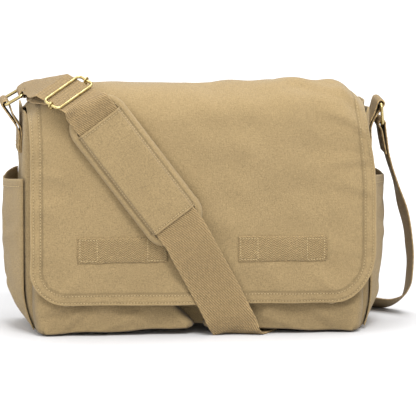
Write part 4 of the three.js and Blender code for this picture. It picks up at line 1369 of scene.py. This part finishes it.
def pad_front(along, across):
    """Front face of the stuffed pad: full in the middle of its border, pinched at the binding."""
    depth = pad_depth(along, across)
    swell = 7.2 * np.sqrt(np.clip(1 - (1 - np.clip(depth / 7.5, 0, 1)) ** 2, 0, 1))
    under = smooth((30 - np.abs(across)) / 4) * smooth((PAD_HALF_LENGTH - 8 - np.abs(along)) / 8)
    puff = 1.4 * bump(depth, 11, 5) * (1 - under) + 0.35 * ripple(along, across, 101, 24) * (1 - under)
    return PAD_BACK_Y + 0.6 - swell - puff * smooth(depth / 6)


def pad_highlight_and_shade(depth):
    """Painted highlight where the border is fullest, painted shade in the seam beside the binding."""
    return 0.25 * bump(depth, 11, 3) - 0.9 * bump(depth, 7.2, 1.0)


STUFFED_FACE_Y = -89.6
UNDER_STRAP_Y = -85.2
VOXEL = 0.0038
SWELL_CAP = 3.0
SWELL_FRAMES = 20


def fixed_mesh(piece):
    """The piece's mesh with its modifiers worked out, as plain arrays."""
    evaluated = piece.evaluated_get(bpy.context.evaluated_depsgraph_get())
    mesh = evaluated.to_mesh()
    points = np.empty(len(mesh.vertices) * 3)
    mesh.vertices.foreach_get("co", points)
    faces = [tuple(face.vertices) for face in mesh.polygons]
    evaluated.to_mesh_clear()
    return points.reshape(-1, 3), faces


def discard(piece):
    mesh = piece.data
    bpy.data.objects.remove(piece)
    bpy.data.meshes.remove(mesh)


def blown_up(piece, held):
    """The stuffed piece after its cloth is pressed outward; held says how firmly each design point stays."""
    remesh = piece.modifiers.new("even", "REMESH")
    remesh.mode = "VOXEL"
    remesh.voxel_size = VOXEL
    start, faces = fixed_mesh(piece)
    mesh = bpy.data.meshes.new("stuffed")
    mesh.from_pydata(start.tolist(), [], faces)
    stuffed = add_object("stuffed", mesh)
    group = stuffed.vertex_groups.new(name="held")
    for index, weight in enumerate(held(start / MM - SHIFT)):
        group.add([index], float(weight), "REPLACE")
    cloth_press = stuffed.modifiers.new("press", "CLOTH")
    settings = cloth_press.settings
    settings.quality = 6
    settings.mass = 0.2
    settings.use_pressure = True
    settings.uniform_pressure_force = 4
    settings.effector_weights.gravity = 0
    settings.vertex_group_mass = "held"
    cloth_press.point_cache.frame_start = 1
    cloth_press.point_cache.frame_end = SWELL_FRAMES
    scene = bpy.context.scene
    for number in range(1, SWELL_FRAMES + 1):
        scene.frame_set(number)
    end, _ = fixed_mesh(stuffed)
    scene.frame_set(1)
    discard(stuffed)
    moved = (end - start) / MM
    length = np.linalg.norm(moved, axis=1, keepdims=True)
    moved *= np.minimum(1, SWELL_CAP / np.maximum(length, 1e-6))
    return start / MM - SHIFT + moved, faces


def subdivided(piece):
    smoother = piece.modifiers.new("smooth", "SUBSURF")
    smoother.levels = 1
    smoother.render_levels = 1
    points, faces = fixed_mesh(piece)
    return points / MM - SHIFT, faces


def pad_place(points):
    """Along and across the pad, for design points."""
    from_centre = points - PAD_CENTRE
    return from_centre @ PAD_ALONG, from_centre @ PAD_ACROSS


def pad_room(along, across):
    """The furthest forward that the stuffing may come: less where the strap and its cover press on it."""
    covered = smooth((31 - np.abs(across)) / 3) * smooth((73 - np.abs(along)) / 4)
    strapped = smooth((28 - np.abs(across)) / 3)
    pressed = 3.4 * np.maximum(covered, 0.8 * strapped)
    return np.minimum(STUFFED_FACE_Y + pressed, UNDER_STRAP_Y)


def stuff_pad(body):
    """Presses the pad out from inside, then holds it back from the flap, the strap and its cover."""
    def held(points):
        return 1 - 0.97 * smooth((pad_depth(*pad_place(points)) - 4.0) / 4.0)
    points, faces = blown_up(body, held)
    discard(body)
    rough = make_object("pad_rough", points, faces, points[:, :2], points[:, 0] * 0, CANVAS)
    points, faces = subdivided(rough)
    discard(rough)
    along, across = pad_place(points)
    depth = pad_depth(along, across)
    points[:, 1] = np.clip(points[:, 1], pad_room(along, across), PAD_BACK_Y - 0.4)
    return make_object("pad_cushion", points, faces, np.stack([across, along], -1), pad_highlight_and_shade(depth), CANVAS)


def build_pad():
    ends = np.sin(np.linspace(0, QUARTER, 22))
    half = np.concatenate([np.linspace(0, PAD_HALF_LENGTH - PAD_CORNER, 34)[:-1],
                           PAD_HALF_LENGTH - PAD_CORNER + PAD_CORNER * ends])
    along = np.concatenate([-half[::-1], half[1:]])[:, None]
    u = eased(61)[None, :]
    across = u * pad_half_width(along)
    along = along + 0 * across
    front = on_pad(along, across, pad_front(along, across))
    depth = pad_depth(along, across)
    back = on_pad(along, across, PAD_BACK_Y - 0.9 + 0.9 * smooth(depth / 5))
    uv = np.stack([across, along], -1)
    body = cloth("pad_cushion", front, uv, CANVAS, inner=back, wear_and_painted_light=pad_highlight_and_shade(depth))
    body = stuff_pad(body)
    settle_in(body, "shoulder_pad", "canvas", "pad_backing", "pad_foam", "pad_top")

    def outline(out, y):
        length, width, corner = PAD_HALF_LENGTH + out, PAD_HALF_WIDTH + out, PAD_CORNER + out
        loop = rounded_loop(on_pad(0, 0, 0), PAD_ALONG, length, PAD_ACROSS, width, corner, 14)
        loop[:, 1] = y
        return loop

    at = np.arange(len(BINDING_SECTION))
    grid = np.stack([outline(out, y) for out, y in BINDING_SECTION], 1)
    run = run_along(grid[:, 3])
    pucker = 0.22 * np.sin(2 * math.pi * run / 9.0) + 0.15 * ripple(run, 0 * run, 103, 30)
    weights = np.interp(at, [0, 1, 3, 5, 9], [0, 1, 0.5, 0, 0])
    grid[..., 1] -= pucker[:, None] * weights[None, :]
    uv = stacked(run[:, None], at[None, :] * 2.0)
    # Painted shade at the binding's inner edge against the pad; paler along its outer rim.
    wear_and_painted_light = spread(np.interp(at, [0, 1, 4, 9], [-1.0, -0.1, 0.5, 0]), grid)
    tape = cloth("pad_binding_tape", grid, uv, CANVAS, 0.8, wear_and_painted_light=wear_and_painted_light, closed=True)
    settle_in(tape, "shoulder_pad", "canvas_shade", "pad_binding")
    seam_path = outline(-5.3, -86.95)
    seam_path = np.vstack([seam_path, seam_path[:1]])
    rows = [stitches("pad_seam", seam_path, BACK, PAD_STITCH)]

    length, width = COVER_HALF_LENGTH, COVER_HALF_WIDTH
    a, b = np.meshgrid(np.linspace(-length, length, 91), eased(45), indexing="ij")
    across = b * width
    rise = smooth((width - 0.6 - np.abs(across)) / 4.2)
    end = length - np.abs(a)
    y = COVER_EDGE_Y - COVER_RISE * rise - 0.9 * bump(end, 0, 5) * rise
    y = y + 0.45 * bump(end, COVER_END_SEAM, 0.9)
    y = y - (0.22 * ripple(a, across, 105, 34) + 0.1 * ripple(a, across, 106, 14)) * rise
    y = y + 0.35 * bump(width - np.abs(across), COVER_SIDE_SEAM, 0.7)
    outer, inner = on_pad(a, across, y), on_pad(a, across, y + 0.9)
    uv = np.stack([across, a], -1)
    # Paler along the end edges; painted shade in the seams and where the cover's sides meet the pad.
    wear_and_painted_light = 0.5 * bump(end, 0, 1.2) - 0.6 * bump(end, COVER_END_SEAM, 1.0)
    wear_and_painted_light = wear_and_painted_light - 0.5 * bump(width - np.abs(across), COVER_SIDE_SEAM, 0.9)
    wear_and_painted_light = wear_and_painted_light - 0.7 * bump(np.abs(across), width, 0.8)
    outer, inner, uv, wear_and_painted_light = (part[:, ::-1] for part in (outer, inner, uv, wear_and_painted_light))
    cover = cloth("pad_tunnel", outer, uv, CANVAS, inner=inner, wear_and_painted_light=wear_and_painted_light)
    settle_in(cover, "shoulder_pad", "canvas", "pad_cover")
    for sign in (-1, 1):
        t = np.linspace(-length + 2, length - 2, 60)
        side_y = COVER_EDGE_Y - 0.4 - COVER_RISE * smooth(1.6 / 4.2)
        line = on_pad(t, np.full(60, sign * (width - COVER_SIDE_SEAM)), side_y)
        rows.append(stitches(f"pad_side_{sign}", line, BACK, PAD_STITCH))
        t = np.linspace(-width + 3, width - 3, 40)
        line = on_pad(np.full(40, sign * (length - COVER_END_SEAM)), t, -92.45)
        rows.append(stitches(f"pad_end_{sign}", line, BACK, PAD_STITCH))
    settle_in(join("pad_stitching", rows), "shoulder_pad", "canvas")


# ---- floor and light ----
def area_light(name, place, aim, size, power):
    data = bpy.data.lights.new(name, "AREA")
    data.shape = "RECTANGLE"
    data.size, data.size_y = size
    data.energy = power
    light = add_object(name, data)
    light.location = place
    look_along(light, Vector(aim) - Vector(place))


def build_stage():
    mesh = bpy.data.meshes.new("floor")
    reach, count = 4.0, 24
    side = np.linspace(-reach, reach, count)
    x, y = np.meshgrid(side, side)
    points = np.stack([x, y, 0 * x], -1).reshape(-1, 3)
    mesh.from_pydata(points.tolist(), [], quads(count, count, False).tolist())
    mesh.materials.append(floor_material("floor"))
    add_object("floor", mesh)
    world = bpy.data.worlds.new("world")
    bpy.context.scene.world = world
    world.use_nodes = True
    background = world.node_tree.nodes["Background"]
    background.inputs[0].default_value = (1.0, 1.0, 1.0, 1.0)
    background.inputs[1].default_value = 1.0
    area_light("key", (0.3, -2.1, 2.5), (0, 0, 0.12), (1.3, 1.0), 75)
    area_light("top", (0.1, 0.3, 2.4), (0, 0, 0.1), (1.6, 1.4), 30)
    area_light("fill", (-1.9, -1.2, 1.2), (0, 0, 0.12), (1.0, 1.0), 12)
    bpy.context.scene.view_settings.view_transform = "Standard"


make_camera()
build_shell()
build_flap()
build_flap_strips()
build_tapes()
front_pocket("left", -1, 111)
front_pocket("right", 1, 121)
side_pocket("left", -1, 20.0, 131)
side_pocket("right", 1, 20.0, 141)
build_hardware()
ring_tab("left", -1, LEFT_BAR)
ring_tab("right", 1, RIGHT_BAR)
build_strap()
build_pad()
build_stage()
